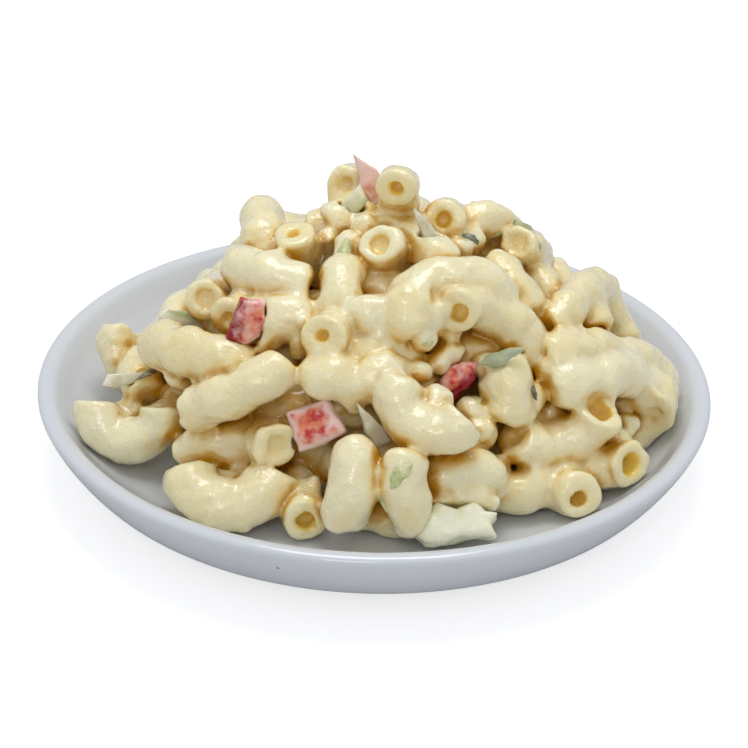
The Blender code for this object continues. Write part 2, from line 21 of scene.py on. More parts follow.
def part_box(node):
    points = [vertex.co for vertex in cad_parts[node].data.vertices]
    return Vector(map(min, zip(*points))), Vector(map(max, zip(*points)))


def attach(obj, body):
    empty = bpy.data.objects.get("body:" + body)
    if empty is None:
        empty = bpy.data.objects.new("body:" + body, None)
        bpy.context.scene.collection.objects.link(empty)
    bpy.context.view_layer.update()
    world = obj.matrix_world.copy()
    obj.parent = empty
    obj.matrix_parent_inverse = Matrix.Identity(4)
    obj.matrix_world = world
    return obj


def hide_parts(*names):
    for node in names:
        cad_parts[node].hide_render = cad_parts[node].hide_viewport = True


MM = 0.001
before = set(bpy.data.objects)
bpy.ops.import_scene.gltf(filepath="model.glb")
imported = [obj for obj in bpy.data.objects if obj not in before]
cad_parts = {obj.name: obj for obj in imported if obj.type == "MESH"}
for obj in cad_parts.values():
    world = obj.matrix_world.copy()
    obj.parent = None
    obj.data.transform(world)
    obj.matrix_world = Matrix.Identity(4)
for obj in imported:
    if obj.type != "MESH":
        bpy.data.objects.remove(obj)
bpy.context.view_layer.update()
print("nodes:", ", ".join(sorted(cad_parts)))

# %% [markdown]
# ## Camera
#
# The photograph is taken from the front, a little under 30 degrees above the table, with a long lens, so
# the plate is a nearly even ellipse. A camera could be aimed with a Track To constraint, but a matrix
# made from three directions says exactly where it stands and lets it lean by the degree or so that the
# picture leans.

# %% Place the camera
LENS_ANGLE = math.radians(20.0)
LOOK_DOWN = math.radians(29.15)
LEAN = math.radians(1.43)
CAMERA_DISTANCE = 476.5
AIM_HEIGHT = 19.0  # above the table, at the plate's middle
SHIFT_RIGHT = -0.17  # of the camera and its aim together
SHIFT_UP = -0.40

back = Vector((0.0, -math.cos(LOOK_DOWN), math.sin(LOOK_DOWN)))
level_right = Vector((1.0, 0.0, 0.0))
level_up = back.cross(level_right)
right = math.cos(LEAN) * level_right + math.sin(LEAN) * level_up
up = math.cos(LEAN) * level_up - math.sin(LEAN) * level_right
stand = back * CAMERA_DISTANCE + right * SHIFT_RIGHT + up * SHIFT_UP + Vector((0.0, 0.0, AIM_HEIGHT))

camera_data = bpy.data.cameras.new("camera")
camera_data.lens_unit = "FOV"
camera_data.angle = LENS_ANGLE
camera = bpy.data.objects.new("camera", camera_data)
turn = Matrix((right, up, back)).transposed().to_4x4()
camera.matrix_world = Matrix.Translation(stand * MM) @ turn
scene = bpy.context.scene
scene.collection.objects.link(camera)
scene.camera = camera
print("camera stands at", [round(value) for value in stand], "mm")

# %% [markdown]
# ## Studio light
#
# Food like this is lit by one large soft box overhead and white cards all round, so that nothing has a
# hard shadow. A world of even pale light stands for the cards, and area lights for the boxes. The view
# transform is Standard, because the filmic ones grey a white plate.

# %% Hang the lights
ROOM_COLOUR = (0.95, 0.97, 1.0, 1.0)
ROOM_STRENGTH = 0.58
SOFT_BOXES = (  # name, place and aim in mm, width in mm and power in watts
    ("box_overhead", (0.0, 100.0, 620.0), (0.0, 0.0, 20.0), 300.0, 1.44),
    ("box_front", (-60.0, -520.0, 420.0), (0.0, 0.0, 25.0), 160.0, 0.38),
)


def srgb(red, green, blue):
    """A colour given by its screen values from 0 to 255, as the linear values that shaders use, opaque."""
    values = [value / 255.0 for value in (red, green, blue)]
    return (*(v / 12.92 if v <= 0.04045 else ((v + 0.055) / 1.055) ** 2.4 for v in values), 1.0)


def soft_box(name, place, aim, size, watts):
    """A square area light at a place, turned to its aim, both in mm."""
    data = bpy.data.lights.new(name, "AREA")
    data.shape = "SQUARE"
    data.size = size * MM
    data.energy = watts
    lamp = bpy.data.objects.new(name, data)
    lamp.location = Vector(place) * MM
    lamp.rotation_euler = (Vector(aim) - Vector(place)).to_track_quat("-Z", "Y").to_euler()
    scene.collection.objects.link(lamp)


scene.view_settings.view_transform = "Standard"
scene.view_settings.look = "None"
world = bpy.data.worlds.new("white_room")
world.use_nodes = True
room = world.node_tree.nodes["Background"].inputs
room["Color"].default_value = ROOM_COLOUR
room["Strength"].default_value = ROOM_STRENGTH
scene.world = world
for box in SOFT_BOXES:
    soft_box(*box)

# %% [markdown]
# ## Helpers for materials
#
# Every finish below is a Principled shader whose colour, roughness and bump are fed by procedural nodes.
# A few small functions keep the node code readable: one adds a node and sets its inputs, one reads a
# value that was stored on the mesh, and one mixes two colours.

# %% Node helpers
def fill(tree, node, values):
    """Set a node's inputs by their names; a value may be another node's output."""
    for key, value in values.items():
        if isinstance(value, bpy.types.NodeSocket):
            tree.links.new(value, node.inputs[key])
        else:
            node.inputs[key].default_value = value


def add_node(tree, kind, values=None, **settings):
    """A new node of a kind, with its settings and its inputs' values."""
    made = tree.nodes.new(kind)
    for key, value in settings.items():
        setattr(made, key, value)
    fill(tree, made, values or {})
    return made


def stored(tree, name):
    """A value that the mesh holds for each of its corners."""
    return add_node(tree, "ShaderNodeAttribute", attribute_name=name).outputs["Fac"]


def mixed(tree, amount, first, second):
    """A colour between two: the first where the amount is 0 and the second where it is 1."""
    values = {"Factor": amount, "A": first, "B": second}
    return add_node(tree, "ShaderNodeMix", values, data_type="RGBA").outputs["Result"]


def ranged(tree, value, low, high, start=0.0, end=1.0):
    """A value mapped from low..high to start..end and clamped there."""
    values = {"Value": value, "From Min": low, "From Max": high, "To Min": start, "To Max": end}
    return add_node(tree, "ShaderNodeMapRange", values).outputs["Result"]


def math_of(tree, operation, *values):
    """One of Blender's Math operations on two values, or on three."""
    return add_node(tree, "ShaderNodeMath", dict(enumerate(values)), operation=operation).outputs[0]


def noise(tree, place, wavelength, detail=2.0, roughness=0.5):
    """Noise with a wavelength in mm, between 0 and 1."""
    values = {"Vector": place, "Scale": 1.0 / (wavelength * MM), "Detail": detail, "Roughness": roughness}
    return add_node(tree, "ShaderNodeTexNoise", values).outputs["Fac"]


def place_of(tree):
    """Where on the object a point is."""
    return add_node(tree, "ShaderNodeTexCoord").outputs["Object"]


def bump(tree, height, depth):
    """A normal from a height between 0 and 1 that stands for a depth in metres."""
    return add_node(tree, "ShaderNodeBump", {"Height": height, "Distance": depth}).outputs["Normal"]


def principled(name, colour, roughness):
    """A material of a plain colour, with its node tree and its Principled shader."""
    made = bpy.data.materials.new(name)
    made.use_nodes = True
    tree = made.node_tree
    shader = tree.nodes["Principled BSDF"]
    fill(tree, shader, {"Base Color": colour, "Roughness": roughness})
    return made, tree, shader


print("a middle grey on the screen is", round(srgb(128, 128, 128)[0], 3), "as a linear value")

# %% [markdown]
# ## Floor
#
# The table is plain white. A single large face is enough for it. In the picture the table shows pure
# white with hardly a shadow, because it is lit on its own. One pale face can't both throw back the right
# light and show so little shadow, so for the camera alone the table is greyer, which makes its shadow
# faint, and is lifted to white by a little light of its own.

# %% Lay the floor
FLOOR_HALF = 3000.0
FLOOR_PALE = (0.74, 0.74, 0.74, 1.0)
FLOOR_SEEN = (0.48, 0.48, 0.48, 1.0)  # for the camera
FLOOR_LIFT = 0.70


def object_of(name, mesh, look):
    """A smooth-shaded object of a mesh, in the scene."""
    mesh.materials.append(look)
    mesh.shade_smooth()
    thing = bpy.data.objects.new(name, mesh)
    scene.collection.objects.link(thing)
    return thing


def table_look():
    """The white table: greyer for the camera, and lifted there by a light of its own."""
    look, tree, shader = principled("white_table", FLOOR_PALE, 0.7)
    seen = add_node(tree, "ShaderNodeLightPath").outputs["Is Camera Ray"]
    fill(tree, shader, {
        "Base Color": mixed(tree, seen, FLOOR_PALE, FLOOR_SEEN),
        "Emission Color": (1.0, 1.0, 1.0, 1.0),
        "Emission Strength": math_of(tree, "MULTIPLY", seen, FLOOR_LIFT),
    })
    return look


floor_mesh = bpy.data.meshes.new("floor")
floor_half = FLOOR_HALF * MM
floor_corners = [(x * floor_half, y * floor_half, 0.0) for x, y in ((-1, -1), (1, -1), (1, 1), (-1, 1))]
floor_mesh.from_pydata(floor_corners, [], [(0, 1, 2, 3)])
floor = object_of("floor", floor_mesh, table_look())
print("floor is", 2 * FLOOR_HALF, "mm wide")

# %% [markdown]
# ## The plate's shape
#
# The plate is thrown or pressed china, a solid of revolution: a flat well, a wall that rises in one sweep
# to a rounded lip, and an under side that falls away to a foot ring. It could be a Screw modifier on a
# curve. Here the profile is a list of points with a smooth curve through them, and each point becomes a
# ring, because the salad later needs the same curve to know where the plate's surface is.

# %% Turn the plate
PLATE_SEGMENTS = 192
CURVE_STEPS = 5  # how many rings there are from one point of the profile to the next
UPPER_PROFILE = [  # radius and height
    (0, 6.5), (50, 6.5), (56, 7.4), (62, 9.6), (67, 13.4), (70, 17), (71.3, 18.4), (72.9, 19),
    (74.3, 18.8), (75, 18), (74.7, 16.8), (73.6, 14.4), (72.2, 12), (70, 8.8), (67.2, 5.7), (63, 3.3),
    (57, 1.5), (46, 1),
]
WELL_RINGS = [(20, 6.5), (38, 6.5)]  # two more on the flat well
FOOT_PROFILE = [(45.4, 0.4), (44.8, 0), (41.4, 0), (40.7, 0.3), (39.8, 1.2), (39, 1.4), (0, 1.4)]


def smooth_curve(points, steps):
    """Points on a curve that passes through the given ones, as a cubic between each two."""
    points = np.array(points, dtype=float)
    slopes = np.gradient(points, axis=0)
    spans = np.linalg.norm(np.diff(points, axis=0), axis=1)
    found = []
    for k, span in enumerate(spans):
        first, last = points[k], points[k + 1]
        near = slopes[k] * span / (np.linalg.norm(slopes[k]) + 1e-9)
        far = slopes[k + 1] * span / (np.linalg.norm(slopes[k + 1]) + 1e-9)
        for t in np.arange(steps) / steps:
            ends = (2 * t ** 3 - 3 * t ** 2 + 1) * first + (3 * t ** 2 - 2 * t ** 3) * last
            found.append(ends + (t ** 3 - 2 * t ** 2 + t) * near + (t ** 3 - t ** 2) * far)
    found.append(points[-1])
    return np.array(found)


def turned_mesh(name, profile, segments):
    """A mesh turned about Z from a profile of (radius, height) that starts and ends on the axis."""
    bm = bmesh.new()
    rings = []
    for radius, height in profile:
        if radius < 1e-6:
            rings.append([bm.verts.new((0.0, 0.0, height * MM))])
            continue
        angles = [2.0 * math.pi * k / segments for k in range(segments)]
        places = [Vector((radius * math.cos(a), radius * math.sin(a), height)) for a in angles]
        rings.append([bm.verts.new(place * MM) for place in places])
    for upper, lower in zip(rings, rings[1:]):
        for k in range(segments):
            after = (k + 1) % segments
            round_face = ((upper, k), (lower, k), (lower, after), (upper, after))
            corners = [ring[place % len(ring)] for ring, place in round_face]
            bm.faces.new(list(dict.fromkeys(corners)))
    bmesh.ops.recalc_face_normals(bm, faces=bm.faces)
    mesh = bpy.data.meshes.new(name)
    bm.to_mesh(mesh)
    bm.free()
    return mesh


upper_curve = smooth_curve(UPPER_PROFILE[1:], CURVE_STEPS)
plate_profile = [UPPER_PROFILE[0], *WELL_RINGS, *map(tuple, upper_curve), *FOOT_PROFILE]
plate_mesh = turned_mesh("china_plate", plate_profile, PLATE_SEGMENTS)
print("plate:", len(plate_mesh.polygons), "faces")

# %% [markdown]
# ## Wet unevenness, shared by all the food
#
# Dressed food is wet all over, but never evenly: the film of dressing pools, thins and dimples at a scale
# of one to three millimetres. Every food material needs that, so it is a node group. It puts out a
# roughness that wanders between two values and a normal with shallow dimples, and each material places it
# with its own numbers.

# %% Build the wet film group
FINE_DIMPLES = 2.7  # how many times as fine the second noise is as the first
FINE_SHARE = 0.3  # and how deep its dimples are beside the first one's


def wet_film_group():
    """A node group that puts out a wandering roughness and a normal with shallow dimples."""
    group = bpy.data.node_groups.new("wet_film", "ShaderNodeTree")
    for name, default in (("Dimple Size", 2.0), ("Dimple Depth", 0.1), ("Wet", 0.2), ("Dry", 0.4)):
        socket = group.interface.new_socket(name, in_out="INPUT", socket_type="NodeSocketFloat")
        socket.default_value = default
    group.interface.new_socket("Place", in_out="INPUT", socket_type="NodeSocketVector")
    group.interface.new_socket("Roughness", in_out="OUTPUT", socket_type="NodeSocketFloat")
    group.interface.new_socket("Normal", in_out="OUTPUT", socket_type="NodeSocketVector")
    given = group.nodes.new("NodeGroupInput").outputs
    put_out = group.nodes.new("NodeGroupOutput").inputs
    scale = math_of(group, "DIVIDE", 1.0, math_of(group, "MULTIPLY", given["Dimple Size"], MM))
    fine_scale = math_of(group, "MULTIPLY", scale, FINE_DIMPLES)
    heights = []
    for size, detail in ((scale, 2.0), (fine_scale, 1.0)):
        values = {"Vector": given["Place"], "Scale": size, "Detail": detail}
        heights.append(add_node(group, "ShaderNodeTexNoise", values).outputs["Fac"])
    coarse, fine = heights
    height = math_of(group, "MULTIPLY_ADD", fine, FINE_SHARE, coarse)
    depth = math_of(group, "MULTIPLY", given["Dimple Depth"], MM)
    group.links.new(bump(group, height, depth), put_out["Normal"])
    group.links.new(ranged(group, coarse, 0.35, 0.65, given["Wet"], given["Dry"]), put_out["Roughness"])
    return group


WET_FILM = wet_film_group()


def wet_film(tree, size, depth, wet, dry):
    """Place the wet film in a material, for its shader's roughness and normal."""
    values = {"Place": place_of(tree), "Dimple Size": size, "Dimple Depth": depth, "Wet": wet, "Dry": dry}
    film = add_node(tree, "ShaderNodeGroup", values, node_tree=WET_FILM)
    return {name: film.outputs[name] for name in ("Roughness", "Normal")}


print("group inputs:", [item.name for item in WET_FILM.interface.items_tree])

# %% [markdown]
# ## Glazed china
#
# The glaze is a glassy layer over a white body, a cool grey-white in the picture, with a faint waviness
# that bends its reflections. One tiny speck shows in the picture, on the outside near the front. It could
# be painted, but the distance from one place, turned into a colour, draws it as finely as it has to be.

# %% Glaze the plate
SPECK_PLACE = (-18.1, -71.1, 14.0)
SPECK_RADIUS = 0.45


def china_look():
    """The plate's glaze, faintly mottled and wavy, with its one speck."""
    look, tree, shader = principled("glazed_china", srgb(232, 233, 235), 0.12)
    place = place_of(tree)
    mottle = ranged(tree, noise(tree, place, 38.0), 0.3, 0.7)
    body = mixed(tree, mottle, srgb(215, 219, 225), srgb(219, 223, 229))
    ends = {0: place, 1: Vector(SPECK_PLACE) * MM}
    away = add_node(tree, "ShaderNodeVectorMath", ends, operation="DISTANCE").outputs["Value"]
    speck = ranged(tree, away, SPECK_RADIUS * MM, 0.5 * SPECK_RADIUS * MM)
    fill(tree, shader, {
        "Base Color": mixed(tree, speck, body, srgb(120, 122, 122)),
        "Roughness": ranged(tree, noise(tree, place, 14.0), 0.3, 0.7, 0.10, 0.16),
        "Normal": bump(tree, noise(tree, place, 22.0, 1.0), 0.06 * MM),
        "Coat Weight": 0.3,
        "Coat Roughness": 0.05,
    })
    return look


plate = object_of("china_plate", plate_mesh, china_look())
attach(plate, "root")
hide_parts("plate")
print("plate's box in mm:", [round(value / MM, 1) for value in plate.dimensions])

# %% [markdown]
# ## Reading places from the picture
#
# The picture gives two numbers for each place in it: how far across and how far down it is seen. One more
# number makes that a point in space, because the camera is known and the point lies on its line of sight.
# Low on the heap that number is the height above the table. Higher up it is easier to say how far the
# place lies outside a dome, half an egg that the outer noodles follow. A pair of short functions does
# each, and a third goes the other way.

# %% Read places from the picture
PICTURE_SIZE = 748.0
PICTURE_REACH = 0.5 * PICTURE_SIZE / math.tan(LENS_ANGLE / 2.0)
DOME_CENTRE = Vector((1.0, 4.0, 8.0))
DOME_HALF = Vector((57.0, 49.0, 43.0))

view_from, view_right, view_up, view_back = (np.array(way, dtype=float) for way in (stand, right, up, back))


def dot(first, second):
    """The dot product of two directions."""
    return float(np.dot(first, second))


def sight(across, down):
    """The way of the line of sight through a place of the picture."""
    half = 0.5 * PICTURE_SIZE
    way = (across - half) * view_right - (down - half) * view_up - PICTURE_REACH * view_back
    return way / np.linalg.norm(way)


def in_picture(points):
    """How far across and down the picture points in mm are seen."""
    away = np.asarray(points) - view_from
    scale = -PICTURE_REACH / (away @ view_back)
    half = 0.5 * PICTURE_SIZE
    return half + away @ view_right * scale, half - away @ view_up * scale


def at_height(across, down, height):
    """The point at this height above the table that is seen at this place of the picture."""
    way = sight(across, down)
    return view_from + way * (height - view_from[2]) / way[2]


def at_lift(across, down, lift):
    """The point this far outside the dome that is seen there, or the nearest to it where there is none."""
    way = sight(across, down)
    half = np.array(DOME_HALF) + lift
    start, step = (view_from - np.array(DOME_CENTRE)) / half, way / half
    square, middle = dot(step, step), dot(start, step)
    inside = max(middle * middle - square * (dot(start, start) - 1.0), 0.0)
    return view_from - way * (middle + math.sqrt(inside)) / square


def angles_of(run, outward):
    """The heading, pitch and roll in degrees of something that runs and faces these ways."""
    heading = math.atan2(run[1], run[0])
    left = np.array((-math.sin(heading), math.cos(heading), 0.0))
    roll = math.atan2(dot(outward, left), dot(outward, np.cross(run, left)))
    return tuple(math.degrees(angle) for angle in (heading, math.asin(run[2]), roll))


print("the picture's middle is seen at", [round(float(value), 1) for value in at_height(374, 374, 19)], "mm")

# %% [markdown]
# ## The noodles that show
#
# An elbow noodle is a short bent tube. Its centre line is part of a circle, and three places on it are
# enough to know the circle: where the noodle starts, where it bends and where it ends. The frame's heap
# has one noodle for each that can be told apart in the picture, and the same places are used here. Each
# row also says how far the noodle runs on unseen before the first place and after the last, and its
# radius.

# %% List the noodles
LOW_NOODLES = [  # name, three places as across, down and height, how far it runs on before and after, radius
    ("left post", (113, 327, 25), (118, 354, 20), (124, 381, 13.5), 0, 0, 4.4),
    ("left crescent", (103, 399, 21.5), (130, 440, 14.6), (157, 404, 22), 0, 0, 5.3),
    ("left low", (134, 376, 14), (156, 388, 14.5), (180, 398, 14), 2, 2, 4.5),
    ("behind crescent", (193, 455, 15.5), (219, 448, 18), (244, 467, 14), 2, 2, 4.7),
    ("front crescent", (186, 468, 17.5), (228, 504, 13.3), (277, 475, 17.5), 0, 0, 5.4),
    ("front ring", (308, 521, 12.4), (302, 507, 12.2), (297, 492, 12.4), 0, 10, 4.9),
    ("slope bar", (356, 452, 26.5), (352, 488, 21), (344, 522, 13), 2, 0, 4.9),
    ("front post", (404, 462, 26), (405, 492, 20.5), (418, 520, 12.8), 2, 0, 4.9),
    ("low behind", (372, 510, 11.8), (388, 513, 11.8), (404, 517, 11.8), 4, 2, 4.6),
    ("front right end", (484, 504, 14), (468, 500, 15), (450, 496, 15), 0, 4, 4.7),
    ("tube", (520, 441, 22), (576, 436, 21), (601, 409, 27.5), 2, 0, 5.1),
    ("low bar", (501, 492, 12.2), (528, 492, 12.4), (554, 477, 13.2), 3, 0, 4.8),
    ("right ring", (632, 465, 16.6), (612, 464, 15.2), (586, 469, 14), 0, 3, 4.9),
    ("low lobe", (580, 497, 14.4), (571, 493, 12.8), (560, 481, 12.8), 0, 5, 4.9),
    ("right back", (625, 362, 27), (648, 368, 23.5), (657, 384, 18.5), 4, 2, 4.8),
    ("right knob", (652, 416, 19), (655, 402, 19.5), (650, 384, 20), 0, 4, 5.5),
    ("right web", (574, 456, 14), (598, 450, 15), (620, 440, 17), 3, 2, 3.8),
    ("low right back", (612, 438, 12), (630, 434, 12.5), (642, 424, 13), 4, 3, 4.5),
]
HIGH_NOODLES = [  # with how far outside the dome a place lies instead of its height
    ("left bar", (158, 344, 3), (196, 354, 4.5), (236, 364, 2), 0, 3, 5.0),
    ("left long", (196, 408, 5), (240, 392, 6.5), (282, 366, 5), 0, 1, 4.9),
    ("left gap", (228, 436, -4), (243, 436, -3), (256, 446, -4), 3, 3, 4.8),
    ("under long", (262, 412, -7), (280, 408, -6), (300, 404, -7), 3, 3, 4.8),
    ("knob", (277, 447, 5), (270, 441, 0), (262, 432, -8), 0, 4, 4.9),
    ("under hook", (432, 478, 0), (462, 472, 2), (490, 476, -1), 3, 2, 4.9),
    ("hook", (404, 376, 4), (412, 422, 5), (467, 419, 8.5), 0, 0, 5.5),
    ("right arch", (552, 390, 3), (604, 375, 5.5), (644, 400, 3.5), 0, 0, 4.8),
    ("bumpy", (545, 356, 3), (576, 350, 4), (606, 354, 2), 0, 2, 4.0),
    ("upper arch", (556, 322, 2), (574, 301, 3.5), (600, 297, 1), 3, 0, 4.6),
    ("arch leg", (598, 331, 2.5), (616, 326, 2), (626, 344, 1), 0, 1, 4.3),
    ("crown", (412, 300, 4), (448, 277, 6.5), (498, 296, 4), 3, 2, 5.0),
    ("crown tube", (458, 312, 8), (472, 309, 5), (512, 328, 2), 0, 3, 4.6),
    ("crown left", (414, 334, 4), (406, 312, 5), (418, 290, 4), 0, 3, 4.8),
    ("summit", (394, 199, 13), (398, 204, 8), (392, 227, 4), 0, 3, 4.5),
    ("under summit", (379, 243, 8), (386, 252, 3), (398, 258, -4), 0, 3, 4.9),
    ("beside summit", (404, 236, 2), (420, 246, 3), (440, 262, 3), 3, 3, 4.9),
    ("summit back", (344, 186, 9), (350, 184, 7.5), (358, 190, 4), 0, 5, 4.3),
    ("summit prop", (352, 206, 4), (360, 216, 3), (366, 228, 1), 4, 6, 4.4),
    ("summit left", (334, 224, 2), (342, 218, 3), (352, 220, 1), 2, 4, 4.3),
    ("top ring", (443, 219, 7), (443, 225, 2), (435, 246, -5), 0, 2, 4.6),
    ("top bar", (474, 224, 4), (488, 222, 5), (500, 227, 4), 3, 3, 4.4),
    ("shoulder ring", (517, 243, 5), (528, 250, 2), (532, 258, -4), 0, 6, 4.6),
    ("shoulder near", (506, 276, 2), (514, 288, 2), (528, 304, 0), 3, 2, 4.6),
    ("shoulder far", (532, 276, -3), (546, 294, -2), (552, 314, -4), 3, 3, 4.6),
    ("left top", (265, 217, 4), (262, 232, 4), (266, 248, 2), 0, 4, 4.7),
    ("left hole", (294, 232, 8), (297, 246, 4), (306, 262, -4), 0, 2, 4.9),
    ("upper left", (236, 270, 3), (270, 274, 5), (308, 289, 2), 0, 0, 4.9),
    ("barrel", (344, 272, 2.5), (341, 291, 3.5), (339, 309, 1.5), 2, 3, 4.5),
    ("left curl", (205, 300, 5), (212, 296, 1), (222, 290, -4), 0, 3, 4.4),
    ("left curl inner", (228, 320, 4.5), (238, 312, 2), (250, 306, -2), 0, 3, 4.3),
    ("mid left", (264, 322, 1), (286, 318, 2.5), (306, 323, -1), 3, 3, 4.8),
    ("mid ring", (322, 336, 7.5), (334, 331, 2.5), (352, 324, -2), 0, 3, 4.8),
    ("mid bar", (354, 318, 2), (376, 316, 3), (398, 322, 1), 2, 3, 4.6),
    ("mid low", (318, 384, 2), (334, 377, 3), (350, 388, 1), 2, 3, 4.7),
    ("mid right", (362, 386, 0), (376, 378, 1.5), (392, 376, -1), 2, 5, 4.5),
    ("centre", (352, 352, -2), (376, 354, -1), (400, 358, -3), 3, 3, 4.8),
    ("below summit", (366, 272, -2), (378, 282, -2), (392, 296, -4), 3, 3, 4.8),
    ("right middle", (506, 368, 0), (512, 390, 1), (508, 412, 0), 2, 2, 4.4),
    ("centre right", (508, 324, 0), (522, 334, 1), (524, 350, -1), 3, 3, 4.6),
    ("gap floor", (440, 348, -6), (465, 354, -5), (490, 358, -6), 3, 3, 4.6),
    ("behind top left", (248, 252, -3), (258, 252, -3), (270, 260, -3), 1, 5, 4.3),
]
TIGHTEST_BOW = 6.5  # the least radius that a centre line is drawn with
MOST_BEND = 180.0
NEARLY_STRAIGHT = 1.0  # three places that span less than this, in square mm, count as a straight line
KNEE_RISE = 0.5  # and the one in the middle is raised by this much, so that they have a circle


def noodle_through(find, name, first, middle, last, before, after, radius):
    """A noodle's row: its middle, heading, pitch, roll, bend, length and radius, from places on its line."""
    start, knee, end = (find(*place) for place in (first, middle, last))
    to_knee, to_end = knee - start, end - start
    normal = np.cross(to_knee, to_end)
    if np.linalg.norm(normal) < NEARLY_STRAIGHT:
        knee = knee + np.array((0.0, 0.0, KNEE_RISE))
        to_knee = knee - start
        normal = np.cross(to_knee, to_end)
    lean = np.cross(normal, to_knee) * dot(to_end, to_end)
    lean += np.cross(to_end, normal) * dot(to_knee, to_knee)
    hub = start + lean / (2.0 * dot(normal, normal))
    bow = float(np.linalg.norm(start - hub))
    out = (start - hub) / bow
    along = np.cross(normal / np.linalg.norm(normal), out)
    bend = math.atan2(dot(end - hub, along), dot(end - hub, out)) % (2.0 * math.pi)
    middle_turn = 0.5 * (bend + (after - before) / bow)
    outward = math.cos(middle_turn) * out + math.sin(middle_turn) * along
    run = math.cos(middle_turn) * along - math.sin(middle_turn) * out
    spot = hub + bow * outward
    length = bow * bend + before + after
    bend = min(math.degrees(length / max(bow, TIGHTEST_BOW)), MOST_BEND)
    return (name, *map(float, spot), *angles_of(run, outward), bend, length, radius)


def run_and_outward(heading, pitch, roll):
    """The way a noodle runs at its middle, and the way its outer bend faces."""
    h, p, r = (math.radians(angle) for angle in (heading, pitch, roll))
    run = Vector((math.cos(p) * math.cos(h), math.cos(p) * math.sin(h), math.sin(p)))
    left = Vector((-math.sin(h), math.cos(h), 0.0))
    return run, math.cos(r) * run.cross(left) + math.sin(r) * left


def spine(row, steps=12):
    """Points along the centre line of a row's noodle."""
    _, x, y, z, heading, pitch, roll, bend, length, _ = row
    run, outward = run_and_outward(heading, pitch, roll)
    bend = math.radians(bend)
    bow = length / bend
    centre = Vector((x, y, z)) - bow * outward
    angles = [bend * (k / steps - 0.5) for k in range(steps + 1)]
    return [centre + bow * (math.cos(a) * outward + math.sin(a) * run) for a in angles]


NOODLES = [noodle_through(at_height, *row) for row in LOW_NOODLES]
NOODLES += [noodle_through(at_lift, *row) for row in HIGH_NOODLES]
print(len(NOODLES), "noodles show from the front")

# %% [markdown]
# ## The noodles at the back
#
# Nobody placed the noodles at the back of a heap, and no picture shows them, so a rule lays them. Rows of
# places run round the back of the dome on which the outer noodles lie. For each place many noodles are
# drawn at random, and the one is kept that stays off the plate and under the outline seen from the front,
# lies along the dome and fills the widest space between its neighbours. The draws are seeded as in the
# frame, so the same noodles come out.

# %% Draw the back noodles
BACK_ROWS = [  # latitude, how many noodles, and the longitudes between which they lie
    (11.0, 10, 108.0, 284.0), (31.0, 9, 112.0, 285.0), (52.0, 6, 112.0, 258.0), (71.0, 3, 120.0, 220.0),
]
BACK_DRAWS = {  # what is drawn, between which limits, in this order; a step is the way to the next noodle
    "step": (-0.3, 0.3), "latitude": (-6.0, 6.0), "lift": (-8.0, 0.5), "heading": (-70.0, 70.0),
    "pitch": (-50.0, 50.0), "roll": (-90.0, 90.0), "bend": (50.0, 110.0), "length": (22.0, 28.0),
}
BACK_TRIES = 150
BACK_RADIUS = 4.7
BACK_SEED = 5
CLEARANCE_WEIGHT = 5.0  # how much a mm into the plate or past the outline counts against a mm of free space
DOME_WEIGHT = 25.0  # and how much a departure from the dome by its own radius
SKYLINE = [  # the outline in the picture, across and down
    (98, 338), (124, 318), (158, 312), (186, 286), (212, 262), (234, 234), (250, 205), (300, 212),
    (326, 196), (340, 172), (372, 156), (412, 178), (440, 202), (486, 204), (530, 224), (556, 252),
    (580, 276), (614, 288), (634, 326), (658, 352), (672, 390),
]
SKYLINE_ROOM = 1.1  # how far a centre line stays under the outline, in radii
WELL_RIM = 6  # the profile's points up to this one are the well's


def well_clearance(points, radius):
    """How far a noodle of this radius round these points stays above the well, in mm."""
    well = UPPER_PROFILE[1:WELL_RIM + 1]
    out = np.hypot(points[:, 0], points[:, 1]) + 0.5 * radius
    return np.min(points[:, 2] - radius - np.interp(out, [r for r, _ in well], [h for _, h in well]))


def skyline_clearance(points, radius):
    """How far a noodle of this radius round these points stays under the outline in the picture, in mm."""
    across, down = in_picture(points)
    outline = np.interp(across, [place for place, _ in SKYLINE], [place for _, place in SKYLINE])
    return np.min(down - outline) * CAMERA_DISTANCE / PICTURE_REACH - SKYLINE_ROOM * radius


def on_dome(longitude, latitude):
    """The unit direction of a place on the dome. Longitude 0 is the front and grows toward +X."""
    lon, lat = math.radians(longitude), math.radians(latitude)
    return Vector((math.cos(lat) * math.sin(lon), -math.cos(lat) * math.cos(lon), math.sin(lat)))


def back_score(points, others):
    """How well a noodle along these points lies among the others: the more the better."""
    off_dome = np.linalg.norm((points - DOME_CENTRE) / DOME_HALF, axis=1) - 1.0
    nearest = np.linalg.norm(points[:, None] - others, axis=2).min()
    clear = min(well_clearance(points, BACK_RADIUS), skyline_clearance(points, BACK_RADIUS), 0.0)
    return min(nearest, 2.0 * BACK_RADIUS) + CLEARANCE_WEIGHT * clear - DOME_WEIGHT * np.abs(off_dome).max()


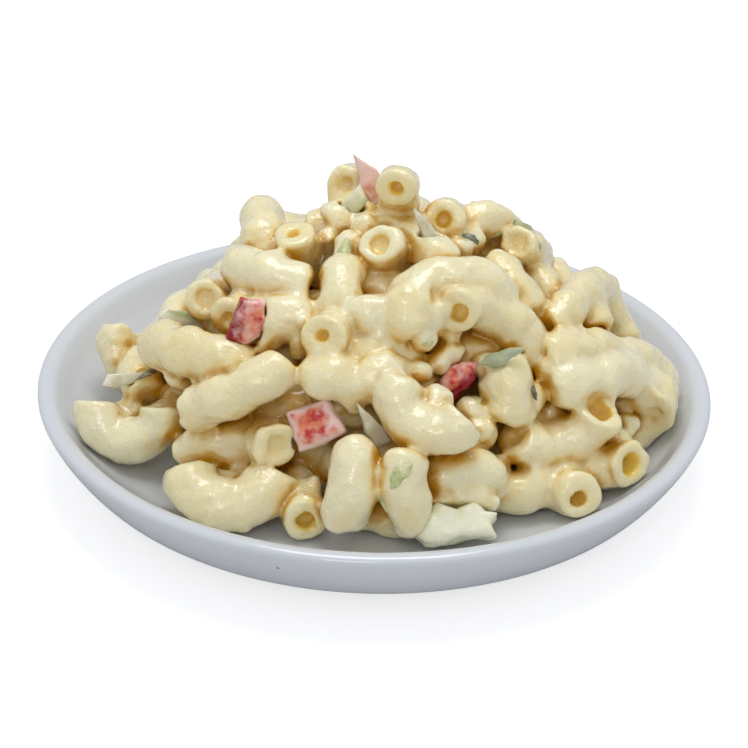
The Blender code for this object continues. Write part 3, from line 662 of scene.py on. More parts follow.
def back_noodles():
    """Placements at the back of the heap, in the form of the NOODLES rows."""
    draw = random.Random(BACK_SEED)
    taken = [np.array(spine(row)) for row in NOODLES]
    placed = []
    for latitude, count, start, end in BACK_ROWS:
        for k in range(count):
            best = None
            others = np.concatenate(taken)
            for _ in range(BACK_TRIES):
                drawn = {key: draw.uniform(*limits) for key, limits in BACK_DRAWS.items()}
                longitude = start + (end - start) * (k + 0.5 + drawn["step"]) / count
                unit = on_dome(longitude, latitude + drawn["latitude"])
                spot = DOME_CENTRE + Vector(map(operator.mul, DOME_HALF, unit)) + unit * drawn["lift"]
                turns = (longitude + drawn["heading"], drawn["pitch"], drawn["roll"], drawn["bend"])
                row = ("back", *spot, *turns, drawn["length"], BACK_RADIUS)
                points = np.array(spine(row))
                score = back_score(points, others)
                if best is None or score > best[0]:
                    best = (score, row, points)
            placed.append(best[1])
            taken.append(best[2])
    return placed


BACK_NOODLES = back_noodles()
print(len(BACK_NOODLES), "noodles drawn for the back")

# %% [markdown]
# ## The noodles underneath
#
# Between the outer noodles the eye looks into gaps, and at their bottom lie more noodles, not a smooth
# core. These are only glimpsed, so a looser rule will do: places spread evenly over a smaller dome, each
# with a noodle that lies roughly along it.

# %% Draw the under noodles
UNDER_COUNT = 64
UNDER_DEPTH = 8.5
UNDER_RISE = (0.04, 0.93)  # the lowest place's height and how far the others rise above it, in dome heights
UNDER_BEND = 85.0
UNDER_LENGTH = 22.0
UNDER_RADIUS = 4.4
UNDER_SEED = 21
GOLDEN_TURN = 137.50776  # degrees: places that follow each other by this turn spread evenly


def under_noodles():
    """Placements under the outer noodles, in the form of the NOODLES rows."""
    draw = random.Random(UNDER_SEED)
    placed = []
    for k in range(UNDER_COUNT):
        latitude = math.degrees(math.asin(UNDER_RISE[0] + UNDER_RISE[1] * (k + 0.5) / UNDER_COUNT))
        unit = on_dome(k * GOLDEN_TURN, latitude)
        spot = DOME_CENTRE + Vector(map(operator.mul, DOME_HALF, unit)) - unit * UNDER_DEPTH
        heading = k * GOLDEN_TURN + draw.uniform(-60.0, 60.0)
        pitch = draw.uniform(-35.0, 35.0)
        roll = draw.uniform(-60.0, 60.0)
        placed.append(("under", *spot, heading, pitch, roll, UNDER_BEND, UNDER_LENGTH, UNDER_RADIUS))
    return placed


UNDER_NOODLES = under_noodles()
print(len(UNDER_NOODLES), "noodles under them")

# %% [markdown]
# ## How the ends look
#
# Macaroni is cut square, and each end is a hole with a soft rim. In a dressed salad most holes are
# filled, some dimple, and only a few stand open. The list has those that show: for each noodle its first
# end, its last end or both, with the hole's radius and its depth in mm. Every other end in front is
# closed over by dressing.

# %% List the ends
FIRST, LAST = 0, 1
HOLES = {
    ("summit", FIRST): (1.5, 3.4), ("left hole", FIRST): (1.5, 2.6), ("tube", LAST): (2.3, 5.0),
    ("right ring", FIRST): (2.4, 6.0), ("low lobe", FIRST): (1.3, 5.0),
    ("front ring", FIRST): (2.2, 4.0), ("mid ring", FIRST): (1.1, 3.0),
    ("crown tube", FIRST): (1.7, 2.4), ("top ring", FIRST): (1.6, 3.5),
    ("shoulder ring", FIRST): (2.0, 0.9), ("knob", FIRST): (1.9, 0.9), ("hook", LAST): (2.1, 1.8),
    ("left bar", FIRST): (1.8, 0.5), ("crown", FIRST): (1.6, 0.8), ("summit back", FIRST): (1.6, 0.8),
    ("left crescent", LAST): (1.8, 0.4), ("left crescent", FIRST): (1.6, 0.5),
    ("front crescent", LAST): (1.7, 0.6), ("right knob", FIRST): (1.6, 0.6),
    ("arch leg", FIRST): (2.4, 6.0), ("under summit", FIRST): (1.9, 1.8),
    ("left curl", FIRST): (1.8, 0.9), ("left curl inner", FIRST): (1.6, 1.4),
    ("left long", FIRST): (1.6, 0.4), ("tube", FIRST): (1.7, 0.9),
}
BACK_HOLES = [(1.9, 5.0), (1.7, 2.0), (1.9, 0.8), None]  # taken in turn


def holes_of(row, order):
    """What the two ends of a row's noodle look like; order is its place in the list of them all."""
    if row[0] == "back":
        return [BACK_HOLES[turn % len(BACK_HOLES)] for turn in (order, order // 2 + 1)]
    return [HOLES.get((row[0], end)) for end in (FIRST, LAST)]


print(len(HOLES), "ends with a hole or a dimple in front")

# %% [markdown]
# ## The heap as a distance field
#
# Soft noodles held together by dressing have no clear edges: where two touch, dressing fills the crease.
# Joining tube meshes with Booleans gives sharp creases, and a voxel remesh only rounds them a little. A
# distance field does it properly. It is a grid of numbers that say how far each point is from the nearest
# noodle's skin, below zero inside. Two fields join smoothly when their distances are blended, and the
# blend's width is how thick the dressing lies there. Noise that varies over the grid makes that uneven.
# The grid is a NumPy array, and each noodle is worked out only in the part of it round itself.

# %% Lay out the grid
CELL = 0.6
EDGE_ROOM = 3.0  # how far the grid reaches past the heap's box

heap_low, heap_high = (np.array(corner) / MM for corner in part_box("macaroni_heap"))
axes = [
    np.arange(low, high, CELL, dtype=np.float32)
    for low, high in zip(heap_low - EDGE_ROOM, heap_high + EDGE_ROOM)
]
origin = np.array([axis[0] for axis in axes])
shape = tuple(len(axis) for axis in axes)


def spread(axis, values):
    """One axis's values, shaped so that they combine with the other axes' into a grid."""
    form = [1, 1, 1]
    form[axis] = -1
    return np.asarray(values, dtype=np.float32).reshape(form)


def lattice_noise(wavelength, seed):
    """Smooth noise between -1 and 1 over the grid: values on a lattice, eased from each to the next."""
    draw = np.random.default_rng(seed)
    values = draw.uniform(-1.0, 1.0, [int((a[-1] - a[0]) / wavelength) + 3 for a in axes]).astype(np.float32)
    for k, axis in enumerate(axes):
        steps = (axis - axis[0]) / wavelength
        whole = steps.astype(int)
        part = steps - whole
        ease = spread(k, part * part * part * (part * (part * 6.0 - 15.0) + 10.0))
        first, last = np.take(values, whole, axis=k), np.take(values, whole + 1, axis=k)
        values = first + (last - first) * ease
    return values


print("grid:", shape, "cells of", CELL, "mm")

# %% [markdown]
# ## One noodle's distance
#
# Round a bent tube the distance is easy to state: turn each point about the bend's centre until it lies
# over the centre line, and measure there. Past the ends the same turn stops, and what is left over is how
# far the point is beyond the cut. The rim is rounded by the usual trick of measuring to a smaller shape
# and adding the rounding back: a little at an open end, and much more at one that dressing closes. The
# hole is taken away with a blend of its own, so that the lip is soft. Cooked noodles aren't even pipes:
# they are a little flat, and swell and thin along their length, each in its own way.

# %% Measure a noodle
RIM_ROUNDING = 1.1  # at an open end
CLOSED_ROUNDING = 2.3  # at a closed one
FLAT_CAP = 0.8  # the radius of what stays flat in the middle of a thin noodle's closed end
SWELL = 0.05  # how much a noodle's radius varies along it, as a share
SWELL_WAVE = 9.0  # and over what length, in mm
SWELL_SKEW = 1.5  # how many radians further the wave is at the side of a noodle
HOLE_ROUNDING = 0.9
PIT_ROUNDING = 1.0  # where a hole's wall meets its bottom
REACH = 4.5  # how far from its skin a noodle is worked out


def smooth_max(first, second, width):
    """The larger of two fields, rounded where they cross."""
    overlap = np.maximum(width - np.abs(first - second), 0.0) / width
    return np.maximum(first, second) + overlap * overlap * width * 0.25


def window(low, high):
    """The part of the grid between two corners in mm, as slices."""
    first = np.maximum(((low - origin) / CELL).astype(int), 0)
    last = np.minimum(((high - origin) / CELL).astype(int) + 2, shape)
    return tuple(slice(a, b) for a, b in zip(first, last))


def local_axes(part, centre, directions):
    """The grid's points in a window, measured from a centre along three directions."""
    x, y, z = (spread(k, axes[k][part[k]] - centre[k]) for k in range(3))
    return [x * d[0] + y * d[1] + z * d[2] for d in directions]


def noodle_field(row, holes, flatten, phase):
    """The window round a row's noodle and the distance to its skin there."""
    _, x, y, z, heading, pitch, roll, bend, length, radius = row
    run, outward = run_and_outward(heading, pitch, roll)
    bend = math.radians(bend)
    bow = length / bend
    points = np.array(spine(row))
    room = radius + REACH
    part = window(points.min(axis=0) - room, points.max(axis=0) + room)
    hub = Vector((x, y, z)) - bow * outward
    out, along, side = local_axes(part, hub, (outward, run, run.cross(outward)))
    angle = np.arctan2(along, out)
    turn = np.clip(angle, -bend / 2.0, bend / 2.0)
    cos, sin = np.cos(turn), np.sin(turn)
    off_line = out * cos + along * sin - bow
    beyond = np.abs(along * cos - out * sin) + bow * (np.abs(turn) - bend / 2.0)
    across = np.hypot(off_line * (1.0 + flatten), side * (1.0 - flatten))
    wave = turn * bow * 2.0 * math.pi / SWELL_WAVE + phase + SWELL_SKEW * math.sin(phase) * side / radius
    across -= SWELL * radius * np.sin(wave)
    closed = min(CLOSED_ROUNDING, radius - FLAT_CAP)
    roundings = [closed if hole is None else RIM_ROUNDING for hole in holes]
    rounding = np.where(angle > 0.0, roundings[LAST], roundings[FIRST])
    skin, cut = across - radius + rounding, beyond + rounding
    body = np.minimum(np.maximum(skin, cut), 0.0)
    body = body + np.hypot(np.maximum(skin, 0.0), np.maximum(cut, 0.0)) - rounding
    for end, hole in enumerate(holes):
        if hole is None:
            continue
        hole_radius, depth = hole
        own_end = angle > 0.0 if end == LAST else angle <= 0.0
        pit = smooth_max(across - hole_radius, -(beyond + depth), PIT_ROUNDING)
        body = np.where(own_end, smooth_max(body, -pit, HOLE_ROUNDING), body)
    return part, body


first_window, first_field = noodle_field(NOODLES[0], [None, None], 0.0, 0.0)
print("one noodle's window:", first_field.shape, "smallest distance", round(float(first_field.min()), 2))

# %% [markdown]
# ## The pieces of vegetable
#
# Each piece is a slab cut with a knife: rounded at its corners by the dressing, a little narrower at one
# end, and bowed. A row holds where its long side starts and ends, as across and down in the picture and
# height above the table, how far its face is turned from facing the camera, its width and thickness, how
# much it narrows, and how far its ends and sides bow back, the same as in the frame. The heap needs them
# now, because it keeps a hollow for each.

# %% List the vegetable pieces
PIECE_PLACES = [  # name, kind, two places, turn, width, thickness, narrowing, bow of ends and of sides
    ("red_pepper_left", "pepper", (249, 299, 49), (243, 344, 39.5), 5, 8.8, 3.6, 0.10, 0.6, 0.8),
    ("red_pepper_front", "pepper", (288, 427, 27), (347, 423, 29.5), 0, 12.0, 3.8, 0.20, 0.6, 0.6),
    ("red_pepper_right", "pepper", (433, 404, 29), (477, 363, 38.5), 10, 6.6, 2.8, 0.10, 1.2, 0.6),
    ("red_pepper_top", "pepper", (355, 155, 67), (382, 202, 56), 15, 7.5, 1.6, 0.20, 0.6, 0.4),
    ("red_pepper_strip", "pepper", (468, 205, 53.5), (512, 219, 50.5), 0, 3.6, 1.4, 0.10, 0.8, 0.3),
    ("onion_top", "onion", (438, 252, 53), (413, 207, 63), 0, 6.0, 1.3, 0.60, 0.4, 0.3),
    ("onion_left", "onion", (103, 381, 24.5), (158, 374, 23.5), 0, 4.5, 1.4, 0.20, 0.8, 0.5),
    ("onion_centre", "onion", (383, 447, 25), (357, 403, 34.5), 0, 5.4, 1.4, 0.40, 0.5, 0.4),
    ("celery_left", "celery", (161, 315, 38), (203, 329, 33.5), 0, 5.0, 2.2, 0.10, 0.5, 0.4),
    ("celery_front", "celery", (415, 525, 12.8), (499, 522, 13.5), 15, 9.0, 6.6, 0.15, 0.6, 0.6),
    ("celery_top", "celery", (363, 190, 61), (337, 228, 51.5), 0, 6.2, 2.4, 0.10, 0.4, 0.6),
    ("celery_right", "celery", (479, 366, 38), (526, 348, 42), 0, 4.2, 1.4, 0.30, 0.6, 0.3),
    ("celery_back", "celery", (236, 245, 47.5), (264, 252, 46), 0, 5.0, 2.6, 0.10, 0.4, 0.4),
    ("celery_shoulder", "celery", (509, 226, 51.5), (537, 233, 50), 0, 3.2, 1.3, 0.10, 0.9, 0.4),
]
PIECE_ROUNDING = 0.5
END_NARROWING = 0.35  # how much narrower the hollow is at its two ends


def piece_between(name, kind, first, last, turn, *sizes):
    """A piece's row: its middle, heading, pitch, roll, length and other sizes, from where its ends are."""
    start, end = at_height(*first), at_height(*last)
    length = np.linalg.norm(end - start)
    run = (end - start) / length
    middle = 0.5 * (start + end)
    toward = view_from - middle
    facing = toward - dot(toward, run) * run
    facing /= np.linalg.norm(facing)
    angle = math.radians(turn)
    face = math.cos(angle) * facing + math.sin(angle) * np.cross(facing, run)
    return (name, kind, *map(float, middle), *angles_of(run, face), float(length), *sizes)


def piece_field(row):
    """The window round a piece and the distance to its surface there."""
    _, _, x, y, z, heading, pitch, roll, length, width, thickness, narrow, bow_ends, bow_sides = row
    run, face = run_and_outward(heading, pitch, roll)
    centre = np.array((x, y, z))
    room = 0.5 * math.hypot(length, width) + 2.0
    part = window(centre - room, centre + room)
    along, across, above = local_axes(part, centre, (run, face.cross(run), face))
    s = np.clip(2.0 * along / length, -1.0, 1.0)
    half_width = 0.5 * width * (1.0 - narrow * (s + 1.0) / 2.0) * (1.0 - END_NARROWING * s ** 4)
    t = np.clip(across / half_width, -1.0, 1.0)
    deep = bow_ends * s * s + bow_sides * t * t
    ways = ((along, 0.5 * length), (across, half_width), (above + deep, 0.5 * thickness))
    sides = [np.abs(place) - half + PIECE_ROUNDING for place, half in ways]
    outside = np.sqrt(sum(np.maximum(side, 0.0) ** 2 for side in sides))
    inside = np.minimum(np.maximum(np.maximum(sides[0], sides[1]), sides[2]), 0.0)
    return part, outside + inside - PIECE_ROUNDING


PIECES = [piece_between(*place) for place in PIECE_PLACES]
print(len(PIECES), "pieces of vegetable")

# %% [markdown]
# ## Spoonfuls of dressing
#
# The dressing doesn't only coat the noodles. It gathers in the crook of a bent one, hangs as webs between
# two, and lies in spoonfuls that bury their ends. Each such place is listed, as across and down in the
# picture, with its height above the table or how far it lies outside the dome, and its radius in mm. They
# join the heap like the noodles do, only with a wider blend, so that none shows as a ball.

# %% List the dressing
LOW_DRESSING = [
    (127, 418, 15.5, 3.6), (118, 412, 16.5, 2.6), (140, 412, 16.5, 2.6), (229, 484, 13.8, 3.6),
    (214, 478, 14.5, 2.6), (246, 478, 14.5, 2.6), (378, 470, 24.0, 3.2), (377, 490, 19.0, 2.6),
    (452, 490, 17.0, 3.2), (476, 493, 16.0, 3.4), (492, 504, 14.5, 2.8), (612, 438, 18.0, 3.0),
    (640, 395, 22.0, 4.6), (655, 395, 21.0, 4.4), (628, 424, 18.0, 3.6), (621, 403, 20.0, 3.6),
    (313, 486, 16.0, 2.6), (150, 375, 17.0, 3.4), (168, 384, 17.5, 3.2), (440, 508, 15.0, 3.4),
    (404, 470, 25.0, 3.4),
]
HIGH_DRESSING = [
    (560, 338, 4.6, 2.7), (572, 335, 5.0, 2.6), (585, 338, 4.8, 2.5), (597, 340, 4.2, 2.5),
    (552, 348, 4.2, 2.7), (607, 345, 3.6, 2.4), (578, 347, 5.2, 2.6), (566, 352, 5.0, 2.5),
    (446, 484, 3.0, 2.7), (462, 488, 3.2, 2.6), (478, 484, 3.0, 2.5), (490, 492, 2.4, 2.4),
    (304, 322, 4.6, 2.6), (318, 352, 5.0, 2.4), (346, 296, 4.6, 2.5), (426, 318, 3.5, 5.0),
    (437, 311, 4.5, 4.2), (506, 276, 2.5, 3.8), (512, 292, 2.0, 3.8), (424, 338, 3.0, 3.6),
    (436, 300, 4.0, 4.6), (452, 330, 1.5, 3.4), (472, 284, 5.0, 4.4), (440, 362, -1.5, 3.4),
    (420, 372, 0.5, 3.4), (492, 388, -0.5, 4.0), (512, 374, 0.5, 3.6), (508, 402, 0.0, 3.6),
    (532, 398, 0.0, 3.2), (472, 408, -2.0, 3.6), (520, 416, 0.0, 3.2), (484, 364, -1.0, 3.4),
    (455, 352, 0.0, 3.0), (356, 404, 0.5, 3.4), (300, 346, 0.0, 3.2), (384, 334, 1.5, 4.2),
    (398, 396, 3.5, 5.6), (384, 372, 3.0, 4.6), (436, 402, 4.0, 4.4), (366, 228, 4.0, 4.0),
    (350, 246, 2.5, 4.0), (342, 262, 1.5, 3.4), (408, 228, 4.0, 3.4), (330, 240, 0.5, 3.4),
    (470, 240, 2.5, 3.6), (456, 250, 1.5, 3.6), (500, 262, 1.5, 3.6), (480, 218, 4.0, 3.2),
    (296, 300, 2.0, 3.6), (318, 310, 2.0, 3.2), (270, 340, 1.5, 3.6), (548, 368, 2.0, 3.4),
    (600, 356, 2.5, 3.6), (560, 340, 1.5, 3.2), (530, 330, 1.0, 3.6), (520, 306, 1.5, 3.4),
    (552, 412, -3.0, 3.6), (566, 416, -3.0, 3.2), (640, 362, 2.0, 4.2), (300, 420, -2.5, 3.4),
    (258, 424, -3.0, 3.4), (206, 380, 1.0, 3.2), (180, 376, 0.5, 3.4),
]
SPOON_INSET = 0.7  # the blend lets a spoonful swell by about this much
DRESSING = [(*at_height(*spot), radius - SPOON_INSET) for *spot, radius in LOW_DRESSING]
DRESSING += [(*at_lift(*spot), radius - SPOON_INSET) for *spot, radius in HIGH_DRESSING]


def blob_field(x, y, z, radius):
    """The window round a spoonful of dressing and the distance to its surface there."""
    centre = np.array((x, y, z))
    part = window(centre - radius - REACH, centre + radius + REACH)
    along, across, above = local_axes(part, centre, ((1, 0, 0), (0, 1, 0), (0, 0, 1)))
    return part, np.sqrt(along * along + across * across + above * above) - radius


print(len(DRESSING), "spoonfuls of dressing")

# %% [markdown]
# ## Join the field
#
# The blend is the exponential one: each noodle adds exp(-distance / width), and the logarithm of the sum
# is the blended distance. Its width is a grid of its own: thin where noodles lie bare, thick in patches.
# After that come the hollows for the pieces, the plate's surface, and low lumps from noise over
# everything.

# %% Join the noodles
BLEND_THIN = 0.20
BLEND_THICK = 0.75
BLEND_WAVE = (11.0, 41)  # wavelength and seed of the noise that thickens it
BLEND_DRESSING = 0.5
CORE_INSET = 11.0
PLATE_GAP = 0.25
PLATE_SLOPE = 0.85  # heights count for a little less than distances, because the plate's wall is steep
PLATE_MEETING = 0.6  # how softly the heap meets the plate
PIECE_SINK = 0.15  # the dressing reaches this far into a piece's skin, so that no gap shows round it
PIECE_MEETING = 0.5
UNEVEN_SEED = 7
FLATTEN = (-0.06, 0.09)  # between these shares of its radius a noodle is flattened
WEB_MOST = 3.0  # a web thicker than this counts as this thick
WEB_FULL = 0.9  # from this thickness on the lumps are those of dressing
WEB_SHARE = 0.6  # and the rest of their strength comes from noise
LUMPY_WAVE = (13.0, 42)
LUMPS = ((8.0, 0.45, 31), (4.2, 0.48, 32), (2.4, 0.34, 33), (1.5, 0.16, 34))  # wavelength, height and seed
LUMPY = (0.55, 1.4)  # how strong the finer lumps are where dressing is thin and where it is thick


def core_field():
    """The distance to the smooth core deep inside the heap."""
    half = np.array(DOME_HALF) - CORE_INSET
    x, y, z = (spread(k, (axes[k] - DOME_CENTRE[k]) / half[k]) for k in range(3))
    return (np.sqrt(x * x + y * y + z * z) - 1.0) * float(half.min())


def falloff(distance, width):
    """What a field adds to a blend of this width, from a distance kept within what a number can hold."""
    return np.exp(-np.clip(distance, -8.0, 30.0) / width)


def half_noise(wavelength, seed):
    """Lattice noise about one half, from 0 to 1."""
    return np.clip(0.5 + lattice_noise(wavelength, seed), 0.0, 1.0)


def plate_field():
    """How far each point is below the plate's upper surface, raised by the gap."""
    well = upper_curve[:np.argmax(upper_curve[:, 1]) + 1]
    radius = np.hypot(spread(0, axes[0]), spread(1, axes[1]))
    height = np.interp(radius, well[:, 0], well[:, 1]) + PLATE_GAP
    return (height - spread(2, axes[2])) * PLATE_SLOPE


blend = BLEND_THIN + (BLEND_THICK - BLEND_THIN) * half_noise(*BLEND_WAVE)
total = falloff(core_field(), blend)
bare = np.full(shape, REACH, dtype=np.float32)
owner = np.zeros(shape, dtype=np.uint8)
uneven = random.Random(UNEVEN_SEED)
ALL_NOODLES = NOODLES + BACK_NOODLES + UNDER_NOODLES
for order, row in enumerate(ALL_NOODLES):
    flatten, phase = uneven.uniform(*FLATTEN), uneven.uniform(0.0, 2.0 * math.pi)
    part, distance = noodle_field(row, holes_of(row, order), flatten, phase)
    total[part] += falloff(distance, blend[part])
    closer = distance < bare[part]
    bare[part] = np.where(closer, distance, bare[part])
    owner[part] = np.where(closer, order, owner[part])
field = -blend * np.log(np.maximum(total, 1e-30))
for blob in DRESSING:
    part, distance = blob_field(*blob)
    both = falloff(field[part], BLEND_DRESSING) + falloff(distance, BLEND_DRESSING)
    field[part] = np.minimum(field[part], -BLEND_DRESSING * np.log(both))
web = np.clip(bare - field, 0.0, WEB_MOST)
thickness = WEB_SHARE * np.clip(web / WEB_FULL, 0.0, 1.0) + (1.0 - WEB_SHARE) * half_noise(*LUMPY_WAVE)
for order, (wavelength, height, seed) in enumerate(LUMPS):
    strength = LUMPY[0] + (LUMPY[1] - LUMPY[0]) * thickness if order else 1.0
    field += height * strength * lattice_noise(wavelength, seed)
for row in PIECES:
    part, distance = piece_field(row)
    field[part] = smooth_max(field[part], -(distance + PIECE_SINK), PIECE_MEETING)
field = smooth_max(field, plate_field(), PLATE_MEETING).astype(np.float32)
print("field from", round(float(field.min()), 1), "to", round(float(field.max()), 1), "mm")

# %% [markdown]
# ## Skin the field
#
# The surface is where the field is zero. Marching cubes is the well-known way to find it, but its
# triangles are uneven. Surface nets are simpler and give even quads: one corner in every cell that the
# surface crosses, at the mean of where it cuts the cell's edges, and one quad round every edge that it
# cuts. The corners are then drawn onto the surface along the field's slope.

# %% Skin it
PULLS = 3  # how many times the corners are drawn onto the surface
LONGEST_PULL = 0.7
LEAST_SLOPE = 0.05  # beside a slope of one mm to the mm, squared


def surface_nets(values):
    """Corners, in cells, and quads of the surface where the values are zero."""
    places, cells = [], []
    for axis in range(3):
        low = np.moveaxis(np.moveaxis(values, axis, 0)[:-1], 0, axis)
        high = np.moveaxis(np.moveaxis(values, axis, 0)[1:], 0, axis)
        cut = np.argwhere((low < 0.0) != (high < 0.0))
        beside = [k for k in range(3) if k != axis]
        limits = np.array(values.shape)[beside] - 1
        cut = cut[np.all((cut[:, beside] > 0) & (cut[:, beside] < limits), axis=1)]
        first, last = low[tuple(cut.T)], high[tuple(cut.T)]
        place = cut.astype(float)
        place[:, axis] += first / (first - last)
        u, v = (axis + 1) % 3, (axis + 2) % 3
        corners = []
        for du, dv in ((-1, -1), (0, -1), (0, 0), (-1, 0)):
            cell = cut.copy()
            cell[:, u] += du
            cell[:, v] += dv
            corners.append(np.ravel_multi_index(tuple(cell.T), values.shape))
        corners = np.stack(corners, axis=1)
        inward = first > last
        corners[inward] = corners[inward][:, ::-1]
        places.append(place)
        cells.append(corners)
    place, cell = np.concatenate(places), np.concatenate(cells)
    found, corner = np.unique(cell, return_inverse=True)
    corner = corner.reshape(-1, 4)
    weight = np.bincount(corner.ravel())
    spots = [np.bincount(corner.ravel(), np.repeat(place[:, k], 4)) / weight for k in range(3)]
    return np.stack(spots, axis=1), corner


def sample(values, spots):
    """The grid's values at spots given in cells, blended between the eight points round each."""
    base = np.clip(spots.astype(int), 0, np.array(values.shape) - 2)
    part = spots - base
    found = np.zeros(len(spots))
    for step in itertools.product((0, 1), repeat=3):
        weight = np.prod(np.where(step, part, 1.0 - part), axis=1)
        found += weight * values[tuple((base + step).T)]
    return found


def slope(values, spots, step=0.5):
    """How the grid's values change at spots, per cell along each axis."""
    rises = [sample(values, spots + move) - sample(values, spots - move) for move in np.eye(3) * step]
    return np.stack(rises, axis=1) / (2.0 * step)


def largest_shell(quads, count):
    """Which corners belong to the largest connected surface."""
    label = np.arange(count)
    while True:
        low = label[quads].min(axis=1)
        spread_label = label.copy()
        for corner in quads.T:
            np.minimum.at(spread_label, corner, low)
        spread_label = spread_label[spread_label]
        if np.array_equal(spread_label, label):
            break
        label = spread_label
    return label == np.bincount(label).argmax()


spots, quads = surface_nets(field)
for _ in range(PULLS):
    fall = slope(field, spots)
    steep = np.maximum((fall ** 2).sum(axis=1), LEAST_SLOPE * CELL ** 2)
    spots -= np.clip(sample(field, spots) / steep, -LONGEST_PULL, LONGEST_PULL)[:, None] * fall
outer = largest_shell(quads, len(spots))
quads = quads[outer[quads[:, 0]]]
used, quads = np.unique(quads, return_inverse=True)
spots, quads = spots[used], quads.reshape(-1, 4)
print("heap skin:", len(spots), "corners and", len(quads), "quads")

# %% [markdown]
# ## Keep the heap light
#
# A surface of even quads spends as many faces on the flat back of a noodle as on its rim. The Decimate
# modifier evens that out: it drops the edges whose loss shows least until the count is under the limit.

# %% Make the heap's mesh
TRIANGLE_LIMIT = 196000


def mesh_of(name, corners, faces):
    """A mesh from corners in mm and faces."""
    mesh = bpy.data.meshes.new(name)
    mesh.from_pydata((corners * MM).tolist(), [], faces.tolist())
    mesh.validate()
    return mesh


def baked(thing):
    """Bake the modifiers of an object into its mesh."""
    graph = bpy.context.evaluated_depsgraph_get()
    mesh = bpy.data.meshes.new_from_object(thing.evaluated_get(graph))
    thing.modifiers.clear()
    thing.data = mesh
    return mesh


heap_mesh = mesh_of("dressed_macaroni", spots * CELL + origin, quads)
heap = bpy.data.objects.new("dressed_macaroni", heap_mesh)
scene.collection.objects.link(heap)
if 2 * len(quads) > TRIANGLE_LIMIT:
    fewer = heap.modifiers.new("fewer", "DECIMATE")
    fewer.ratio = TRIANGLE_LIMIT / (2 * len(quads))
    heap_mesh = baked(heap)
heap_mesh.shade_smooth()
print("heap mesh:", sum(len(face.vertices) - 2 for face in heap_mesh.polygons), "triangles")

# %% [markdown]
# ## What the surface knows about itself
#
# The colour of dressed pasta follows its shape. Crevices are painted amber as shade, the amber that light
# has once it has passed through pasta. Webs and pooled dressing are creamier than the bare noodle, holes
# are painted a bright yellow glow that stands in for light shining through the tube wall, and no two
# noodles are quite the same. The field knows all of it, so each corner of the mesh is given four values
# from it for the material to read: how closed in it is, for the painted shade, how much dressing lies
# there, how deep in a hole it is, for the painted glow, and its own noodle's tone.

# %% Store the values
LOOK_OUT = (1.2, 2.5, 4.5, 8.0)  # how far out from the surface it is checked for neighbours
CREAMY = 0.65  # how creamy the surface is at most
CREAMY_WEB = 0.8  # and how thick a web has to be for that
# the holes' yellow is a painted glow that stands in for light shining through the tube wall
HOLE_FADE = 0.8  # a hole's yellow fades out over this much round it
HOLE_LIP = 0.6  # from this far in front of its end
HOLE_FLOOR = 2.0  # to this far past its bottom
DEEP_HOLE = 4.0  # and is full in a hole of this depth


def store(mesh, name, values):
    """Put one value for each corner of a mesh on it, under a name."""
    layer = mesh.attributes.new(name, "FLOAT", "POINT")
    layer.data.foreach_set("value", np.asarray(values, dtype=np.float32))


def corners_of(mesh):
    """A mesh's corners in mm."""
    found = np.empty(3 * len(mesh.vertices), dtype=np.float32)
    mesh.vertices.foreach_get("co", found)
    return found.reshape(-1, 3) / MM


def read(mesh, name):
    """The values that a mesh holds under a name."""
    values = np.empty(len(mesh.vertices), dtype=np.float32)
    mesh.attributes[name].data.foreach_get("value", values)
    return values


def in_holes(points):
    """How far inside an open end each point in mm is, from 0 to 1."""
    found = np.zeros(len(points))
    for order, row in enumerate(ALL_NOODLES):
        line = [np.array(place) for place in spine(row)]
        for hole, tip, before in zip(holes_of(row, order), (line[0], line[-1]), (line[1], line[-2])):
            if hole is None:
                continue
            hole_radius, depth = hole
            outward = (tip - before) / np.linalg.norm(tip - before)
            beyond = (points - tip) @ outward
            off_line = np.linalg.norm(points - tip - np.outer(beyond, outward), axis=1)
            inside = np.clip(1.0 - (off_line - hole_radius) / HOLE_FADE, 0.0, 1.0)
            inside *= np.clip(HOLE_LIP - beyond, 0.0, 1.0) * np.clip(beyond + depth + HOLE_FLOOR, 0.0, 1.0)
            found = np.maximum(found, inside * min(depth / DEEP_HOLE, 1.0))
    return found


spots = (corners_of(heap_mesh) - origin) / CELL
facing = slope(field, spots)
facing /= np.linalg.norm(facing, axis=1)[:, None] + 1e-9
# how open each corner is; what is closed in gets the painted shade of the crevices
openness = np.zeros(len(spots))
for reach in LOOK_OUT:
    seen = sample(field, np.clip(spots + facing * reach / CELL, 0, np.array(shape) - 1))
    openness += np.clip(seen / reach, 0.0, 1.0) / len(LOOK_OUT)
painted_shade = 1.0 - openness
dressing = CREAMY * np.clip(sample(web, spots) / CREAMY_WEB, 0.0, 1.0)
tones = np.array([uneven.random() for _ in ALL_NOODLES])
tone = tones[owner[tuple(np.rint(spots).astype(int).T)]]
hollow = in_holes(spots * CELL + origin)
for name, values in (("painted_shade", painted_shade), ("dressing", dressing), ("tone", tone), ("hollow", hollow)):
    store(heap_mesh, name, values)
    print(name, "on average and at most:", round(float(values.mean()), 2), round(float(values.max()), 2))

# %% [markdown]
# ## Dressed pasta
#
# Cooked dough under mayonnaise is pale straw to cream, lets light in a little way, and shines wetly. The
# Principled shader's subsurface gives the soft glow, its coat the shine. The colour goes from the
# noodle's straw to the dressing's cream by the stored dressing value and a wandering noise. Shade is
# painted over it: a deeper straw on the sides that face other noodles, and amber in the crevices. The
# holes get a painted yellow glow.

# %% Colour the heap
def lit_through(share, *reach):
    """A shader's inputs for a stuff that lets in a share of the light, each colour so many mm deep."""
    radius = tuple(depth * MM for depth in reach)
    return {"Subsurface Weight": share, "Subsurface Radius": radius, "Subsurface Scale": 1.0}


